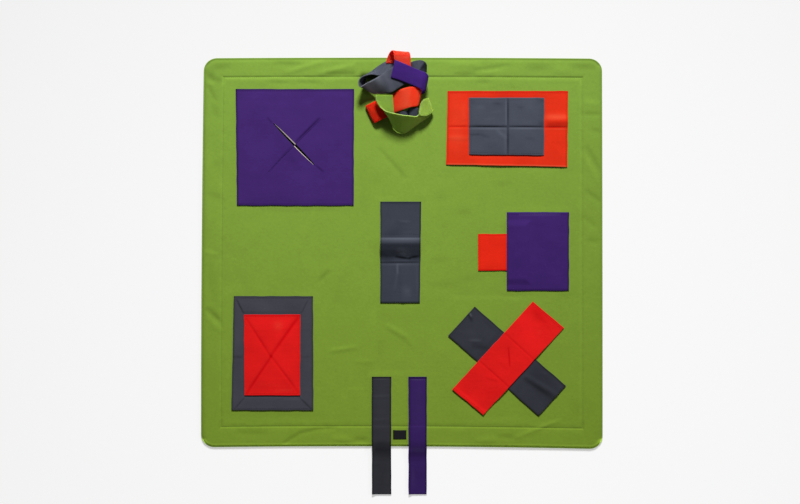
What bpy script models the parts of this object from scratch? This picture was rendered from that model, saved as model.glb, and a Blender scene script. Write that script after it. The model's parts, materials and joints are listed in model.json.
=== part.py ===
"""A square snuffle mat for a dog, lying flat on the floor.

A padded fleece mat carries felt patches, a pocket with a pull tab, crossed bands, a raised tunnel
band, two tie straps, a blank label and, at its top edge, a tangle of eight felt strips.

Metres, +Z up. The origin is the centre of the mat's underside; +Y is the edge with the tangle.
"""

import math

import bmesh
import bpy
from mathutils import Vector
from mathutils.geometry import interpolate_bezier

MM = 0.001
GAP = 0.3 * MM  # left between pieces that touch

# Mat: a turned-out double layer of fleece, top-stitched round inside its puffed border
MAT_WIDTH = 800 * MM
MAT_LENGTH = 776 * MM
MAT_CORNER_RADIUS = 27 * MM
# The sewn outline isn't quite square: how far each corner lies from the true one, and how far the
# middle of each side bows outwards, in mm
MAT_CORNER_SHIFTS = ((-2.4, -1.2), (-2.6, -3.8), (-3.0, -2.8), (3.2, -1.6))
MAT_SIDE_BOWS = {"left": 1.0, "right": 1.5, "top": 1.5, "bottom": -2.0}
MAT_EDGE_BULGE = 1.5 * MM  # the side wall draws in by this much at the floor
MAT_EDGE_LOW = 1.5 * MM
BORDER_HEIGHT = 7.0 * MM
FIELD_HEIGHT = 6.0 * MM
FIELD_PITCH = 20 * MM
FOLD_EDGE = (0, 6)  # mm from the mat's edge over which the folds begin
FOLD_CLEARANCE = (2, 20)  # mm from a sewn-on piece over which the folds die out
CORNER_STEPS = (0, 1.5, 5, 10, 18, 27)  # rows of points inwards from the edge, in mm
BORDER_STEPS = (34, 39, 44, 54)

# Height of the mat's top at each distance in from its edge, in mm: (inset, height)
BORDER_PROFILE = (
    (0.0, 3.2),
    (1.5, 5.0),
    (5.0, 6.5),
    (10.0, 7.0),
    (30.0, 7.0),
    (34.0, 6.2),
    (39.0, 4.2),
    (44.0, 5.6),
    (54.0, 6.0),
)

# Soft ridges and troughs of the fleece, in mm: (x0, y0, x1, y1, height, half width)
MAT_FOLDS = (
    (-40, -142, 4, -170, 1.6, 9),
    (4, -170, 20, -186, 1.2, 8),
    (-50, 198, -6, 148, 0.9, 12),
    (-184, 70, -202, -36, 0.8, 13),
    (-116, -22, -132, -96, 0.8, 12),
    (-150, -42, -164, -56, 0.6, 10),
    (-142, -200, -100, -194, 0.7, 10),
    (-96, -220, -60, -242, 0.7, 10),
    (-146, 356, -82, 360, -1.4, 7),
    (54, 358, 144, 352, -1.2, 7),
    (-382, 344, -366, 334, -1.2, 8),
    (-380, 284, -374, 268, -1.2, 7),
    (-386, -118, -366, -140, -1.2, 8),
    (-246, -380, -200, -360, -1.2, 7),
    (54, -372, 208, -372, -0.9, 8),
    (360, 276, 394, 250, -1.1, 8),
    (364, 208, 394, 164, -1.1, 8),
    (364, 118, 388, 100, -1.1, 8),
    (250, 374, 304, 354, -1.0, 8),
)

# Felt pieces
FELT = 2.4 * MM
STRIP_FELT = 2.0 * MM
LABEL_THICKNESS = 1.0 * MM

# Corners run from the lower left one anticlockwise, in mm
PURPLE_SQUARE = ((-330.4, 92), (-99.5, 92), (-98.7, 323.8), (-332.8, 323.8))
SLIT_CENTRE = (-217, 214)
SLIT_LENGTH = 118
SLIT_WIDTH = 5.5
SLIT_ANGLE = -45.5  # degrees from +X
SLIT_LIFT = 1.6  # how far the cut tongues stand proud, dying out over SLIT_REACH
SLIT_REACH = 62

RED_FLAP = ((86, 173), (327.5, 170), (329, 321), (89, 321))
RED_FLAP_LOOSE = 1.5  # the lower edge isn't sewn down
RED_FLAP_WAVE = 0.9
RED_FLAP_PUFF = (262, 2.6, 12)  # at the right edge: y, rise and half width
GREY_FLAP = ((133, 192.5), (280.6, 191.5), (281, 306.6), (133, 306.6))
GREY_FLAP_CREASES = (209, 251)  # x of the upright one, y of the level one
GREY_FLAP_RISE = 0.7
GREY_FLAP_CREASE_WIDTH = 9

RED_TAB = ((150, -38), (228, -38), (228, 36), (150, 36))
PURPLE_POCKET = ((208, -77.5), (330, -77), (330, 80), (208, 80))
POCKET_SLOPE = (14, 30)  # mm past the tab's edges over which the pocket comes down to the mat

CROSS_GREY = ((90, -167), (270, -327), (325, -267), (143, -109))
CROSS_RED = ((98, -274), (160, -325), (321, -151), (258.7, -99))
CROSS_SLOPE = (12, 24)  # mm past the grey band's edges over which the red one comes down

FRAME_GREY = ((-341, -316.5), (-180, -316.5), (-180.6, -89.6), (-336.3, -89.6))
FRAME_RED = ((-315.3, -285.7), (-205.4, -285.7), (-204.5, -124), (-316.2, -124))
FRAME_PILLOW = 1.8  # height of the four pillows between the red piece's diagonals

# Underside of the tunnel band along the mat, in mm: (y, height above the mat)
TUNNEL_X = (-45, 37)
TUNNEL_TAPER = 3.6  # how much narrower the band is at its lower end
TUNNEL_PROFILE = (
    (100, 0.0),
    (66, 0.0),
    (38, 0.0),
    (31, 0.8),
    (28.5, 5.0),
    (27.5, 10.0),
    (24, 13.5),
    (17, 13.5),
    (8, 10.8),
    (-2, 6.6),
    (-9, 3.0),
    (-14, 0.9),
    (-20, 0.0),
    (-50, 0.0),
    (-78, 0.0),
    (-103, 0.0),
)

# Underside of the straps, in mm: (y, height above the floor)
STRAP_GREY_X = (-61, -24)
STRAP_PURPLE_X = (12, 47)
STRAP_PROFILE = (
    (-251, 6.3),
    (-280, 6.3),
    (-312, 6.3),
    (-336, 6.4),
    (-345, 6.9),
    (-352, 7.3),
    (-372, 7.4),
    (-381, 7.5),
    (-386, 7.3),
    (-390, 6.2),
    (-393, 4.2),
    (-396, 1.8),
    (-400, 0.5),
    (-406, 0.0),
    (-440, 0.0),
    (-483, 0.0),
)

LABEL = ((-19, -373), (7, -373), (7, -357), (-19, -357))

# The tangle of felt strips. Each row is one rung across a strip, from its upper or left edge to its
# lower or right one, in mm: (x0, y0, z0, x1, y1, z1), with z from the floor
STRIPS = {
    "strip_grey_left": (
        "grey",
        (
            (-2, 350.1, 16, -14, 384, 8.6),
            (-24, 353.2, 28, -34.1, 379, 8.6),
            (-44.1, 348.1, 32, -50, 369.9, 8.4),
            (-61.2, 349.7, 35.5, -60, 362, 8),
            (-73.1, 347.8, 37, -71, 354.1, 7.6),
            (-82.2, 343.8, 37, -74.6, 347.6, 8),
            (-87.1, 335.7, 37, -74.6, 338.9, 8),
            (-84.2, 325.6, 36.5, -73.4, 326.1, 7.8),
            (-71.2, 332.5, 37.5, -61, 316.2, 7.8),
            (-55, 341.3, 38, -44.1, 314.5, 16),
            (-41, 350.2, 37.5, -24, 315.1, 26.5),
            (-28.1, 359.3, 36, -9, 323.6, 30.5),
            (-14.1, 368.3, 35, 6, 332.3, 30.5),
            (2.9, 371.6, 28, 19.7, 333.1, 25),
            (13.9, 372.2, 18, 28.7, 334.5, 18),
        ),
    ),
    "strip_grey_right": (
        "grey",
        (
            (16.8, 352.3, 25, 12.8, 374.4, 23),
            (22.6, 352.4, 31, 21.7, 377.1, 28.5),
            (24.2, 352.6, 33.5, 31.5, 378.6, 31.5),
            (25.9, 352.9, 34, 38.8, 377.6, 32.5),
            (29.5, 353.1, 33, 43.2, 375.1, 31),
            (38.5, 353.4, 24, 46.1, 372.3, 21),
            (44.3, 349.6, 12, 47, 365.1, 8.6),
        ),
    ),
    "strip_grey_inner": (
        "grey",
        (
            (-16.4, 277.2, 7, -12, 259.2, 7),
            (-11, 277.4, 17, -8, 260.4, 15),
            (-5.4, 277.3, 25, -3, 262.6, 22),
            (0.9, 278.1, 28, 2.5, 263.3, 24),
            (5.9, 278.5, 26.5, 7.5, 263.4, 23.5),
            (9.1, 280.5, 21, 10.3, 264.9, 19),
            (11.8, 282.9, 26, 13.2, 264.8, 23),
            (20.7, 284.7, 29.5, 20.7, 265.2, 25),
            (28.6, 284.7, 29, 27.3, 268.2, 24.5),
            (32, 284.3, 24, 30.1, 271.7, 20),
            (33.8, 285.2, 15, 31.8, 273.6, 12),
            (32.7, 286.1, 7.2, 30.9, 275.2, 7),
        ),
    ),
    "strip_red_top": (
        "red",
        (
            (-34, 375, 15.4, 2, 375, 12.8),
            (-32, 384, 16.4, 3, 384, 13.4),
            (-28, 393, 20, 5, 391, 17),
            (-24, 397, 27, 9, 395, 25),
            (-21, 397, 35, 12, 393, 33),
            (-19, 393, 40, 14, 389, 39),
            (-18, 385, 41, 15, 380, 41),
            (-16, 375, 40, 15, 369, 40),
            (-12, 364, 38.5, 17, 358, 38),
        ),
    ),
    "strip_red_middle": (
        "red",
        (
            (-24.9, 312, 17, -23.9, 274.6, 14),
            (-19.9, 313.6, 22.5, -18.9, 275.5, 18.5),
            (-6, 320.8, 29.5, -4, 279.9, 28),
            (10, 325, 35, 11.9, 284.9, 34),
            (24, 325.9, 34, 24, 287, 33),
            (32.9, 323, 28, 30, 288.9, 27),
            (36.1, 320, 18, 30.9, 289.9, 17),
            (32, 318.1, 11.5, 28, 290.1, 11),
            (22.1, 317.1, 10, 17.9, 290, 8.5),
        ),
    ),
    "strip_red_left": (
        "red",
        (
            (-35.5, 309.5, 7.4, -19, 275, 7.4),
            (-56, 300, 7.4, -40, 265, 7.4),
            (-69, 294, 7.6, -52, 259, 7.6),
            (-74, 291, 11.5, -57, 256, 11.5),
            (-69, 293, 16, -52, 258, 16),
            (-56, 299, 17, -40, 264, 17),
            (-44, 305, 16, -27, 270, 16),
        ),
    ),
    "strip_purple": (
        "purple",
        (
            (-16, 377.5, 43, -24.1, 343.9, 37.8),
            (2.1, 370.5, 42.5, -5, 337.9, 37.2),
            (19.9, 362.6, 41.5, 13.1, 330.8, 37.2),
            (35.1, 356.5, 40.5, 28.1, 324.7, 37),
            (45.2, 352.5, 38.5, 35, 321.6, 35.5),
            (49, 348.3, 33, 42, 318.4, 30),
            (49, 345.2, 25, 43, 315.2, 21),
            (47, 344.1, 16, 40.9, 315, 14),
            (42, 345, 9.5, 35, 314, 9),
            (31.1, 344.9, 7.5, 24.9, 311, 7.5),
            (18.9, 344.9, 7.5, 12.9, 311, 7.5),
        ),
    ),
    "strip_green": (
        "green",
        (
            (-55.1, 309.5, 36, -20.6, 310.5, 27),
            (-53.1, 297.7, 35.5, -19.3, 293.8, 26),
            (-47.2, 287.9, 35, -18.1, 274.9, 23),
            (-41.1, 282.7, 36, -18.9, 260.3, 16),
            (-33, 277.2, 37.5, -18.5, 248.2, 10),
            (-20, 273.4, 39.5, -10.8, 239.7, 8.8),
            (-4, 269.9, 41, 3, 236.7, 7.4),
            (13.7, 268.1, 37.5, 17.9, 246.3, 7.2),
            (28, 268.9, 29.5, 32.7, 257.4, 7.4),
            (36.2, 284.3, 22.5, 44.2, 264.7, 8.2),
            (43.6, 298.8, 17.5, 53, 270.9, 9.6),
            (50, 305.3, 18.3, 59.5, 279.5, 12.5),
            (49.5, 304.8, 21.5, 58.7, 278.8, 17),
            (47.9, 304.5, 22.7, 54.5, 274.4, 19.5),
            (45.5, 303.7, 24, 47.5, 270, 23),
            (42.7, 302.8, 25.2, 39.5, 269, 26.7),
            (39.9, 301.4, 26.5, 32.3, 269.9, 30.5),
            (34.3, 292.4, 29, 31.3, 277.5, 30.2),
        ),
    ),
}
STRIP_CELLS = 3  # across a strip
STRIP_STEPS = 2  # between two rungs

COLOURS = {
    "green": (0.19, 0.34, 0.035),
    "purple": (0.058, 0.022, 0.145),
    "red": (0.72, 0.030, 0.016),
    "grey": (0.048, 0.054, 0.070),
    "black": (0.010, 0.010, 0.011),
}
FELT_ROUGHNESS = 0.95

COLLECTION = "snuffle_mat"
CUTTERS = "cutters"


def clear_scene():
    for item in list(bpy.data.objects):
        bpy.data.objects.remove(item, do_unlink=True)


def new_collection(name):
    collection = bpy.data.collections.new(name)
    bpy.context.scene.collection.children.link(collection)
    return collection


def felt_material(colour):
    name = f"{colour}_felt"
    material = bpy.data.materials.get(name)
    if material is None:
        material = bpy.data.materials.new(name)
        material.use_nodes = True
        shader = material.node_tree.nodes["Principled BSDF"]
        shader.inputs["Base Color"].default_value = (*COLOURS[colour], 1)
        shader.inputs["Roughness"].default_value = FELT_ROUGHNESS
        material.diffuse_color = (*COLOURS[colour], 1)
    return material


def add_object(name, bm, colour, collection):
    """An object made of the bmesh's faces, which it then frees."""
    mesh = bpy.data.meshes.new(name)
    bm.to_mesh(mesh)
    bm.free()
    piece = bpy.data.objects.new(name, mesh)
    mesh.materials.append(felt_material(colour))
    mesh.shade_smooth()
    mesh.set_sharp_from_angle(angle=math.radians(40))
    collection.objects.link(piece)
    return piece


def thicken(piece, thickness, offset):
    solidify = piece.modifiers.new("thickness", "SOLIDIFY")
    solidify.thickness = thickness
    solidify.offset = offset


def smooth(t):
    """0 to 1 with level ends."""
    t = min(max(t, 0.0), 1.0)
    return t * t * (3 - 2 * t)


def ease(span, x):
    """0 up to the span's start, 1 from its end, eased between."""
    return smooth((x - span[0]) / (span[1] - span[0]))


def along_table(table, x):
    """The value at x of a table of (x, value) rows in rising order, eased between rows."""
    for (x0, value0), (x1, value1) in zip(table, table[1:]):
        if x <= x1:
            return value0 + (value1 - value0) * ease((x0, x1), x)
    return table[-1][1]


def to_segment(x, y, x0, y0, x1, y1):
    """(distance to the segment, share of the way along it)."""
    dx, dy = x1 - x0, y1 - y0
    share = ((x - x0) * dx + (y - y0) * dy) / (dx * dx + dy * dy)
    share = min(max(share, 0.0), 1.0)
    return math.hypot(x - x0 - share * dx, y - y0 - share * dy), share


# ---------------------------------------------------------------- mat


def mat_lines(half):
    """Where the mat's rows of points lie along one axis: close at the border, even in the field."""
    inner = half - BORDER_STEPS[-1] * MM
    count = round(2 * inner / FIELD_PITCH)
    outer = [half - inset * MM for inset in CORNER_STEPS + BORDER_STEPS[:-1]]
    field = [-inner + 2 * inner * i / count for i in range(count + 1)]
    return [-x for x in outer] + field + outer[::-1]


def round_corner(x, y):
    """Moves a point of the square's corner onto rings about the corner's centre."""
    cx = MAT_WIDTH / 2 - MAT_CORNER_RADIUS
    cy = MAT_LENGTH / 2 - MAT_CORNER_RADIUS
    dx, dy = abs(x) - cx, abs(y) - cy
    if dx <= 0 or dy <= 0:
        return x, y
    reach = max(dx, dy) / math.hypot(dx, dy)
    return math.copysign(cx + dx * reach, x), math.copysign(cy + dy * reach, y)


def as_sewn(x, y):
    """Moves a point of the true outline's mat to where it lies in the sewn one."""
    u, v = x / MAT_WIDTH + 0.5, y / MAT_LENGTH + 0.5
    low_left, low_right, high_right, high_left = [Vector(shift) for shift in MAT_CORNER_SHIFTS]
    shift = low_left.lerp(low_right, u).lerp(high_left.lerp(high_right, u), v)
    bow_u, bow_v = 4 * u * (1 - u), 4 * v * (1 - v)
    shift.x += (MAT_SIDE_BOWS["right"] * u - MAT_SIDE_BOWS["left"] * (1 - u)) * bow_v
    shift.y += (MAT_SIDE_BOWS["top"] * v - MAT_SIDE_BOWS["bottom"] * (1 - v)) * bow_u
    return x + shift.x * MM, y + shift.y * MM


def inset_of(x, y):
    """Distance of a point on the true outline's mat from that outline."""
    cx = MAT_WIDTH / 2 - MAT_CORNER_RADIUS
    cy = MAT_LENGTH / 2 - MAT_CORNER_RADIUS
    dx, dy = abs(x) - cx, abs(y) - cy
    if dx > 0 and dy > 0:
        return MAT_CORNER_RADIUS - math.hypot(dx, dy)
    return MAT_CORNER_RADIUS - max(dx, dy)


def patch_boxes():
    """(x low, y low, x high, y high) of each stretch of mat that something is sewn to, in mm."""
    tangle = [row for colour, rows in STRIPS.values() for row in rows]
    rungs = [row[:2] for row in tangle] + [row[3:5] for row in tangle]
    straps = [(STRAP_GREY_X[0], STRAP_PROFILE[0][0]), (STRAP_PURPLE_X[1], STRAP_PROFILE[-1][0])]
    band = [(TUNNEL_X[0], TUNNEL_PROFILE[0][0]), (TUNNEL_X[1], TUNNEL_PROFILE[-1][0])]
    outlines = (
        PURPLE_SQUARE, RED_FLAP, RED_TAB, PURPLE_POCKET, CROSS_GREY, CROSS_RED, FRAME_GREY,
        LABEL, straps, band, rungs,
    )
    return [
        (
            min(p[0] for p in outline),
            min(p[1] for p in outline),
            max(p[0] for p in outline),
            max(p[1] for p in outline),
        )
        for outline in outlines
    ]


def fold_strength(x, y, boxes):
    """1 on open fleece, falling to 0 towards a sewn-on piece (x and y in mm)."""
    nearest = min(
        math.hypot(max(x0 - x, 0, x - x1), max(y0 - y, 0, y - y1)) for x0, y0, x1, y1 in boxes
    )
    return ease(FOLD_CLEARANCE, nearest)


def mat_height(x, y, inset, boxes):
    """Height of the mat's top at a point that lies inset metres in from its edge."""
    fold = 0.0
    for x0, y0, x1, y1, rise, half_width in MAT_FOLDS:
        distance, share = to_segment(x / MM, y / MM, x0, y0, x1, y1)
        taper = 0.6 + 0.4 * math.sin(math.pi * share)
        fold += taper * bump(distance, rise, half_width)
    fold *= ease(FOLD_EDGE, inset / MM) * fold_strength(x / MM, y / MM, boxes)
    return (along_table(BORDER_PROFILE, inset / MM) + fold) * MM


def build_mat(collection):
    columns, rows = mat_lines(MAT_WIDTH / 2), mat_lines(MAT_LENGTH / 2)
    bm = bmesh.new()
    bmesh.ops.create_grid(bm, x_segments=len(columns) - 1, y_segments=len(rows) - 1, size=0.5)
    boxes = patch_boxes()
    for vertex in bm.verts:
        x = columns[round((vertex.co.x + 0.5) * (len(columns) - 1))]
        y = rows[round((vertex.co.y + 0.5) * (len(rows) - 1))]
        x, y = round_corner(x, y)
        inset = inset_of(x, y)
        x, y = as_sewn(x, y)
        vertex.co = (x, y, mat_height(x, y, inset, boxes))
    rim = [edge for edge in bm.edges if edge.is_boundary]
    for height, inset in ((MAT_EDGE_LOW, 0.0), (0.0, MAT_EDGE_BULGE)):
        wall = bmesh.ops.extrude_edge_only(bm, edges=rim)["geom"]
        rim = [item for item in wall if isinstance(item, bmesh.types.BMEdge)]
        for vertex in {vertex for edge in rim for vertex in edge.verts}:
            outward = vertex.co.xy.normalized()
            vertex.co = (*(vertex.co.xy - outward * inset), height)
    bmesh.ops.edgeloop_fill(bm, edges=rim)
    bmesh.ops.recalc_face_normals(bm, faces=bm.faces)
    return add_object("mat", bm, "green", collection)


# ---------------------------------------------------------------- flat felt pieces


def between(corners, u, v):
    """The point at shares u and v of a four-cornered outline, in metres."""
    a, b, c, d = [Vector(corner) * MM for corner in corners]
    return a.lerp(b, u).lerp(d.lerp(c, u), v)


def build_panel(name, corners, cells, height_at, colour, collection, thickness=FELT):
    """A flat piece whose underside is at height_at(x, y, u, v)."""
    bm = bmesh.new()
    bmesh.ops.create_grid(bm, x_segments=cells[0], y_segments=cells[1], size=0.5)
    for vertex in bm.verts:
        u, v = vertex.co.x + 0.5, vertex.co.y + 0.5
        x, y = between(corners, u, v)
        vertex.co = (x, y, height_at(x, y, u, v))
    panel = add_object(name, bm, colour, collection)
    thicken(panel, thickness, 1)
    return panel


def level(height):
    return lambda x, y, u, v: height


def bump(distance, height, half_width):
    """A soft rise's height at this distance from its middle."""
    return height * math.exp(-((distance / half_width) ** 2))


ON_MAT = FIELD_HEIGHT + GAP
ON_FELT = ON_MAT + FELT + GAP


def build_purple_square(collection, cutters):
    def lift(x, y, u, v):
        """The cut tongues stand a little proud beside the open slit."""
        from_centre = math.hypot(x / MM - SLIT_CENTRE[0], y / MM - SLIT_CENTRE[1])
        return ON_MAT + SLIT_LIFT * MM * (1 - ease((0, SLIT_REACH), from_centre))

    square = build_panel("purple_square", PURPLE_SQUARE, (14, 14), lift, "purple", collection)
    reach = SLIT_LENGTH / 2 * MM
    bm = bmesh.new()
    bmesh.ops.create_cone(
        bm, cap_ends=True, segments=24, radius1=reach, radius2=reach, depth=8 * FELT
    )
    slit = add_object("slit_cutter", bm, "purple", cutters)
    for vertex in slit.data.vertices:
        vertex.co.y *= SLIT_WIDTH / SLIT_LENGTH
    slit.location = (SLIT_CENTRE[0] * MM, SLIT_CENTRE[1] * MM, ON_MAT)
    slit.rotation_euler.z = math.radians(SLIT_ANGLE)
    slit.hide_render = True
    slit.display_type = "WIRE"
    cut = square.modifiers.new("slit", "BOOLEAN")
    cut.operation = "DIFFERENCE"
    cut.object = slit


def build_flaps(collection):
    def red_height(x, y, u, v):
        """Sewn down at the top, loose and wavy along the lower edge, puffed at the right."""
        wave = RED_FLAP_WAVE * math.sin(9.5 * u + 0.6)
        loose = (RED_FLAP_LOOSE + wave) * (1 - ease((0, 0.12), v))
        puff_y, rise, half_width = RED_FLAP_PUFF
        puff = bump(y / MM - puff_y, rise, half_width) * ease((0.90, 0.96), u)
        return ON_MAT + (loose + puff) * MM

    build_panel("red_flap", RED_FLAP, (20, 16), red_height, "red", collection)

    def grey_height(x, y, u, v):
        """Pressed down along both creases, so that four low pillows stand between them."""
        from_crease = min(abs(x / MM - GREY_FLAP_CREASES[0]), abs(y / MM - GREY_FLAP_CREASES[1]))
        rise = GREY_FLAP_RISE - bump(from_crease, GREY_FLAP_RISE, GREY_FLAP_CREASE_WIDTH)
        return ON_FELT + rise * ease((0, 0.12), min(u, 1 - u, v, 1 - v)) * MM

    build_panel("grey_flap", GREY_FLAP, (12, 10), grey_height, "grey", collection)


def build_pocket(collection):
    build_panel("red_tab", RED_TAB, (4, 4), level(ON_MAT), "red", collection)
    tab_end, tab_low, tab_high = RED_TAB[1][0], RED_TAB[0][1], RED_TAB[2][1]

    def pocket_height(x, y, u, v):
        """Over the tab's end the pocket rises by the tab's thickness."""
        outside = max(x / MM - tab_end, tab_low - y / MM, y / MM - tab_high)
        return ON_MAT + (FELT + GAP) * (1 - ease(POCKET_SLOPE, outside))

    build_panel("purple_pocket", PURPLE_POCKET, (10, 12), pocket_height, "purple", collection)


def build_crossed_bands(collection):
    build_panel("cross_grey", CROSS_GREY, (12, 4), level(ON_MAT), "grey", collection)
    grey = [Vector(corner) * MM for corner in CROSS_GREY]
    mid_start, mid_end = (grey[0] + grey[3]) / 2, (grey[1] + grey[2]) / 2
    along = (mid_end - mid_start).normalized()
    half_width = (grey[0] - grey[3]).length / 2

    def red_height(x, y, u, v):
        """Flat over the grey band, then down to the mat past its edges."""
        offset = Vector((x, y)) - mid_start
        across = abs(offset.x * along.y - offset.y * along.x)
        return ON_FELT - (FELT + GAP) * ease(CROSS_SLOPE, (across - half_width) / MM)

    build_panel("cross_red", CROSS_RED, (4, 26), red_height, "red", collection)


def build_frame(collection):
    build_panel("frame_grey", FRAME_GREY, (4, 6), level(ON_MAT), "grey", collection)

    def red_height(x, y, u, v):
        """Pressed down along both diagonals, so that four shallow pillows stand between them."""
        diagonal = min(abs(u - v), abs(u + v - 1))
        inside = ease((0, 0.2), min(u, 1 - u, v, 1 - v))
        return ON_FELT + FRAME_PILLOW * MM * inside * (1 - bump(diagonal, 0.9, 0.09))

    build_panel("frame_red", FRAME_RED, (12, 16), red_height, "red", collection)


def build_band(name, x_edges, profile, base, cells, colour, collection, taper=0.0):
    """A strip of felt that follows a profile of (y, height) rows in mm; its right edge draws in by
    taper towards its lower end."""
    bm = bmesh.new()
    bmesh.ops.create_grid(bm, x_segments=cells, y_segments=len(profile) - 1, size=0.5)
    for vertex in bm.verts:
        y, height = profile[len(profile) - 1 - round((vertex.co.y + 0.5) * (len(profile) - 1))]
        right = x_edges[1] - taper * (profile[0][0] - y) / (profile[0][0] - profile[-1][0])
        x = x_edges[0] + (right - x_edges[0]) * (vertex.co.x + 0.5)
        vertex.co = (x * MM, y * MM, base + height * MM)
    band = add_object(name, bm, colour, collection)
    thicken(band, FELT, 1)


# ---------------------------------------------------------------- tangle of strips


def smooth_rungs(rows):
    """The strip's rungs as (start, end) pairs, with more put in on smooth curves between them."""
    rails = []
    for side in (slice(0, 3), slice(3, 6)):
        points = [Vector(row[side]) * MM for row in rows]
        ends = [points[0] * 2 - points[1]] + points + [points[-1] * 2 - points[-2]]
        rail = [points[0]]
        for before, a, b, after in zip(ends, ends[1:], ends[2:], ends[3:]):
            handles = a + (b - before) / 6, b - (after - a) / 6
            rail += interpolate_bezier(a, *handles, b, STRIP_STEPS + 1)[1:]
        rails.append(rail)
    return list(zip(*rails))


def build_strip(name, colour, rows, collection):
    rungs = smooth_rungs(rows)
    bm = bmesh.new()
    bmesh.ops.create_grid(bm, x_segments=STRIP_CELLS, y_segments=len(rungs) - 1, size=0.5)
    for vertex in bm.verts:
        start, end = rungs[round((vertex.co.y + 0.5) * (len(rungs) - 1))]
        vertex.co = start.lerp(end, vertex.co.x + 0.5)
    strip = add_object(name, bm, colour, collection)
    thicken(strip, STRIP_FELT, 0)


def main():
    clear_scene()
    collection, cutters = new_collection(COLLECTION), new_collection(CUTTERS)
    build_mat(collection)
    build_purple_square(collection, cutters)
    build_flaps(collection)
    build_pocket(collection)
    build_crossed_bands(collection)
    build_frame(collection)
    build_band(
        "tunnel_band", TUNNEL_X, TUNNEL_PROFILE, ON_MAT, 4, "grey", collection, TUNNEL_TAPER
    )
    build_band("strap_grey", STRAP_GREY_X, STRAP_PROFILE, 0.0, 2, "grey", collection)
    build_band("strap_purple", STRAP_PURPLE_X, STRAP_PROFILE, 0.0, 2, "purple", collection)
    build_panel(
        "label", LABEL, (2, 2), level(BORDER_HEIGHT + GAP), "black", collection, LABEL_THICKNESS
    )
    for name, (colour, rows) in STRIPS.items():
        build_strip(name, colour, rows, collection)


main()
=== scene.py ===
"""Dresses the snuffle mat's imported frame: fleece, felt with cut edges, folds and stitching."""

import json
import math

import bmesh
import bpy
import numpy as np
from bpy.props import FloatProperty, FloatVectorProperty, PointerProperty
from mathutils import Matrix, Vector

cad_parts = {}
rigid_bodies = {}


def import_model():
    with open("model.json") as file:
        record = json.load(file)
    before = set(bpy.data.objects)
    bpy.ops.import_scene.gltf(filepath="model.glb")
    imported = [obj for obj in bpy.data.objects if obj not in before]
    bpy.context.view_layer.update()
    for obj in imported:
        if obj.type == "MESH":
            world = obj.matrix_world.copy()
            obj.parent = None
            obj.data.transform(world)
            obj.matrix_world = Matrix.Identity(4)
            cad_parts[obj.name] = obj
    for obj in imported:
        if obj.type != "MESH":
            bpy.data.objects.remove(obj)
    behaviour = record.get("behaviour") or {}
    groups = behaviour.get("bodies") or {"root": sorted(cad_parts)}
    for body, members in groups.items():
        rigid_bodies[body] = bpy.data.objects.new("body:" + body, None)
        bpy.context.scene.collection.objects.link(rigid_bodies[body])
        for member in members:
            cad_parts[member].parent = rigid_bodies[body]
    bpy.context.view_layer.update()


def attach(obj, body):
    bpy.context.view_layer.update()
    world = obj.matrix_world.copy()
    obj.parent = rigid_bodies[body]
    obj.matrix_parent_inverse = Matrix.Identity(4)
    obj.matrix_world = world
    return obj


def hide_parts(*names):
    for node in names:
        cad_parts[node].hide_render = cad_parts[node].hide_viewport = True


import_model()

bl_info = {
    "name": "Snuffle Mat",
    "version": (1, 0, 0),
    "blender": (4, 5, 0),
    "location": "3D View > Sidebar > Snuffle Mat",
    "description": "Models a fleece snuffle mat with felt patches, bands, straps and a tangle",
    "category": "Object",
}

MM = 0.001
BODY = "root"

# ---------------------------------------------------------------- sizes, in mm

# Those of the part, but that outlines, folds and edges are drawn finer here, within a few mm

GAP = 0.3  # left between pieces that touch

MAT_WIDTH = 800
MAT_LENGTH = 776
MAT_CORNER_RADIUS = 25
MAT_CORNER_SHIFTS = ((-3.8, -3.0), (-0.8, -6.6), (-2.0, -1.8), (2.0, -1.0))
MAT_SIDE_BOWS = {"left": 1.6, "right": 0.4, "top": 1.5, "bottom": -3.6}
SEAM_DRAWS = (2.2, 2.8)  # how far the seam lies inwards, at the sides and at the bottom
SEAM_DRAW_REACH = 34
SEAM_PUCKER = (0.25, 6, 9, 21)  # height, half width, spacing, draw
BOTTOM_RIM_DROP = 1.1
MAT_EDGE_BULGE = 1.5
MAT_EDGE_LOW = 1.5
BORDER_HEIGHT = 7.0
FIELD_HEIGHT = 6.0
FIELD_PITCH = 3.0
FOLD_EDGE = (0, 6)
FOLD_CLEARANCE = (2, 14)
FOLD_SPREAD = 1.3  # how much wider than its fold's relief its painted shade is
SEAM_INSET = 39
# Light and dark painted along the rim and the seam: (side, inset, shade, half width)
RIM_SHADES = (
    ("top edge", 3.2, -0.42, 1.7), ("top edge", 8, -0.05, 4), ("bottom edge", 0.5, 2.6, 5),
    ("top seam", 42, 0.10, 2.6), ("top seam", 38, 0.06, 3), ("top seam, left", 38.5, 0.14, 3),
    ("bottom seam", 37, -0.07, 2.6), ("bottom seam", 41, -0.07, 2.6), ("right seam", 42.5, 0.05, 3),
)
# Rows of points inwards from the edge: close at the turned edge and at the seam
MAT_STEPS = (
    0, 0.6, 1.2, 1.8, 2.4, 3.2, 4, 5, 6.5, 8, 10, 12.5, 15, 18, 21, 24, 27, 30, 32.5, 34.5,
    36, 37.2, 38, 38.6, 39, 39.4, 40, 41, 42.2, 44, 46.5, 49.5, 52.5,
)
# Height of the mat's top at each distance in from its edge: (inset, height)
BORDER_PROFILE = (
    (0.0, 3.2), (1.0, 4.1), (2.2, 3.6), (3.5, 5.4), (6.0, 6.4), (10.0, 7.0), (30.0, 7.0),
    (35.5, 6.8), (38.4, 5.7), (39.0, 5.5), (40.0, 5.9), (46.0, 6.1), (54.0, 6.0),
)

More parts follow.
